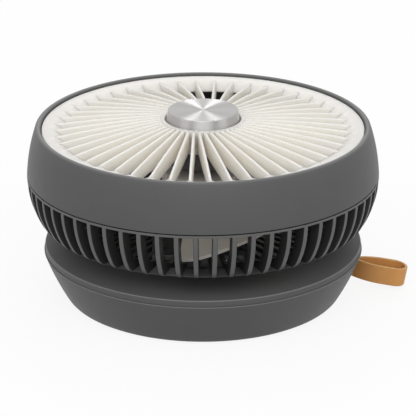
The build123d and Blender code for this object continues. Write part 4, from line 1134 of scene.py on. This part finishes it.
class FAN_OT_loop(bpy.types.Operator):
    """Build the leather loop: one band bent double, with its tails inside the base"""

    bl_idname = "fan.loop"
    bl_label = "Leather loop"

    def execute(self, context):
        sizes = context.scene.fan_loop
        half = sizes.half - sizes.thickness / 2
        start = sizes.thickness / 2
        nose = sizes.reach - sizes.half
        rise = half - start
        bow = (sizes.belly**2 + rise**2) / (2 * rise)
        opening = arc((sizes.belly, half - bow), bow, pi / 2 + asin(sizes.belly / bow), pi / 2, steps=10)
        upper = [(-sizes.tail, start), (-sizes.tail / 2, start), *opening]
        end = arc((nose, 0), half, pi / 2, -pi / 2, steps=18)
        path = upper + end + [(x, -y) for x, y in reversed(upper)]

        bm = bmesh.new()
        points = [bm.verts.new((x, y, -sizes.width / 2)) for x, y in path]
        lines = [bm.edges.new(pair) for pair in zip(points, points[1:])]
        rows = 8
        for _ in range(rows):
            grown = bmesh.ops.extrude_edge_only(bm, edges=lines)["geom"]
            lifted = [item for item in grown if isinstance(item, bmesh.types.BMVert)]
            lines = [
                item
                for item in grown
                if isinstance(item, bmesh.types.BMEdge) and all(vert in lifted for vert in item.verts)
            ]
            bmesh.ops.translate(bm, verts=lifted, vec=(0, 0, sizes.width / rows))
        bmesh.ops.recalc_face_normals(bm, faces=bm.faces[:])
        bmesh.ops.transform(bm, matrix=loop_frame(context), verts=bm.verts[:])
        band = add_piece("leather_band", as_mesh(bm), "base", "tan_leather", "leather_loop")
        # The thickness comes first, then the cut edges, then the even shading
        edges = band.modifiers.new("cut edges", "BEVEL")
        edges.width = sizes.edge_round
        edges.segments = 2
        edges.limit_method = "ANGLE"
        edges.angle_limit = radians(60)
        band.modifiers.move(1, 0)
        hide = band.modifiers.new("hide thickness", "SOLIDIFY")
        hide.thickness = sizes.thickness
        hide.offset = 0.0
        band.modifiers.move(2, 0)
        return {"FINISHED"}


class FAN_OT_inner_parts(bpy.types.Operator):
    """Dress the solids that show as they are, and round off those that show close up"""

    bl_idname = "fan.inner_parts"
    bl_label = "Inner parts"

    def execute(self, context):
        slots = {part["node"]: part["material_slot"] for part in frame["record"]["subparts"]}
        bodies = frame["record"]["behaviour"]["bodies"]
        body_of = {node: body for body, nodes in bodies.items() for node in nodes}
        rounded = {
            "arm_shell": 0.0004,
            "arm_cover": 0.0003,
            "impeller": 0.0003,
            "hub_cover": 0.0005,
            "base_hinge_bracket": 0.0005,
            "head_hinge_bracket": 0.0005,
        }
        for node, solid in frame["nodes"].items():
            if solid.hide_render:
                continue
            slot = slots[node]
            if node in rounded:
                mesh = as_mesh(softened(node, rounded[node]))
                add_piece(node + "_dressed", mesh, body_of[node], slot, node)
            else:
                solid.data.materials.clear()
                solid.data.materials.append(FINISHES[slot])
        return {"FINISHED"}


class FAN_OT_stage(bpy.types.Operator):
    """Set up the studio: pale floor, soft lights and the camera"""

    bl_idname = "fan.stage"
    bl_label = "Stage"

    def execute(self, context):
        scene = context.scene
        stage = scene.fan_stage
        scene.view_settings.view_transform = "Standard"

        bm = bmesh.new()
        bmesh.ops.create_grid(bm, x_segments=1, y_segments=1, size=stage.floor_reach)
        floor = bpy.data.objects.new("floor", as_mesh(bm))
        paint = Finish("floor_paint")
        dust = paint.noise(0.5, 2.0)
        colours = scene.fan_colours
        shown = paint.mix(dust, shade(colours.floor, 0.99), shade(colours.floor, 1.01))
        paint.surface(Base_Color=paint.mix(paint.seen(), colours.floor_bounce, shown), Roughness=0.9)
        paint.glow(stage.floor_white)
        floor.data.materials.append(paint.material)
        scene.collection.objects.link(floor)

        # Name, place, width in metres and power in watts
        lamps = [
            ("back_left_softbox", (-0.163, 1.16, 1.2), 0.16, 1.5),
            ("back_right_softbox", (0.163, 1.16, 1.2), 0.16, 1.5),
            ("top_softbox", (0.0, 0.0, 1.7), 1.4, 0.7),
            ("front_softbox", (0.0, -1.9, 1.6), 2.6, 26.0),
            ("left_softbox", (-1.6, -0.9, 0.9), 1.2, 3.2),
            ("right_softbox", (1.6, -0.7, 0.8), 1.2, 3.2),
        ]
        for name, place, size, power in lamps:
            light = bpy.data.lights.new(name, "AREA")
            light.shape = "DISK"
            light.size = size
            light.energy = power
            lamp = bpy.data.objects.new(name, light)
            lamp.location = place
            lamp.rotation_euler = (LAMP_AIM - Vector(place)).to_track_quat("-Z", "Y").to_euler()
            scene.collection.objects.link(lamp)

        world = bpy.data.worlds.new("studio")
        world.use_nodes = True
        scene.world = world
        sky = Nodes(world.node_tree)
        background = sky.tree.nodes["Background"].inputs
        sky.feed(background["Color"], (1.0, 1.0, 1.0))
        sky.feed(background["Strength"], sky.node("Mix", None, {0: sky.seen(), 2: stage.sky, 3: 1.0}))

        lens = bpy.data.cameras.new("camera")
        lens.lens = stage.lens
        lens.clip_start = 0.01
        camera = bpy.data.objects.new("camera", lens)
        camera.location = stage.camera_place
        aim = Vector(stage.camera_aim) - Vector(stage.camera_place)
        camera.rotation_euler = aim.to_track_quat("-Z", "Y").to_euler()
        scene.collection.objects.link(camera)
        scene.camera = camera
        return {"FINISHED"}


class FAN_PT_parts(bpy.types.Panel):
    """Lists the fan's pieces in the sidebar"""

    bl_label = "Folding fan"
    bl_idname = "FAN_PT_parts"
    bl_space_type = "VIEW_3D"
    bl_region_type = "UI"
    bl_category = "Fan"

    def draw(self, context):
        for piece in PIECES:
            self.layout.operator(piece.bl_idname)


PIECES = [
    FAN_OT_base,
    FAN_OT_housing,
    FAN_OT_rear_grille,
    FAN_OT_front_grille,
    FAN_OT_button,
    FAN_OT_loop,
    FAN_OT_inner_parts,
    FAN_OT_stage,
]
SETTINGS = {
    "fan_base": BaseSizes,
    "fan_head": HeadSizes,
    "fan_grille": GrilleSizes,
    "fan_loop": LoopSizes,
    "fan_colours": FanColours,
    "fan_stage": StageSizes,
}


def register():
    """Register the settings, operators and panel."""
    for name, group in SETTINGS.items():
        bpy.utils.register_class(group)
        setattr(bpy.types.Scene, name, PointerProperty(type=group))
    for piece in PIECES:
        bpy.utils.register_class(piece)
    bpy.utils.register_class(FAN_PT_parts)


def unregister():
    """Remove the panel, operators and settings."""
    bpy.utils.unregister_class(FAN_PT_parts)
    for piece in reversed(PIECES):
        bpy.utils.unregister_class(piece)
    for name, group in SETTINGS.items():
        delattr(bpy.types.Scene, name)
        bpy.utils.unregister_class(group)


def main():
    """Build every piece in order."""
    register()
    scene = bpy.context.scene
    make_finishes(scene)
    bpy.ops.fan.base()
    bpy.ops.fan.housing()
    bpy.ops.fan.rear_grille()
    bpy.ops.fan.front_grille()
    bpy.ops.fan.button()
    bpy.ops.fan.loop()
    bpy.ops.fan.inner_parts()
    bpy.ops.fan.stage()


if __name__ == "__main__":
    main()
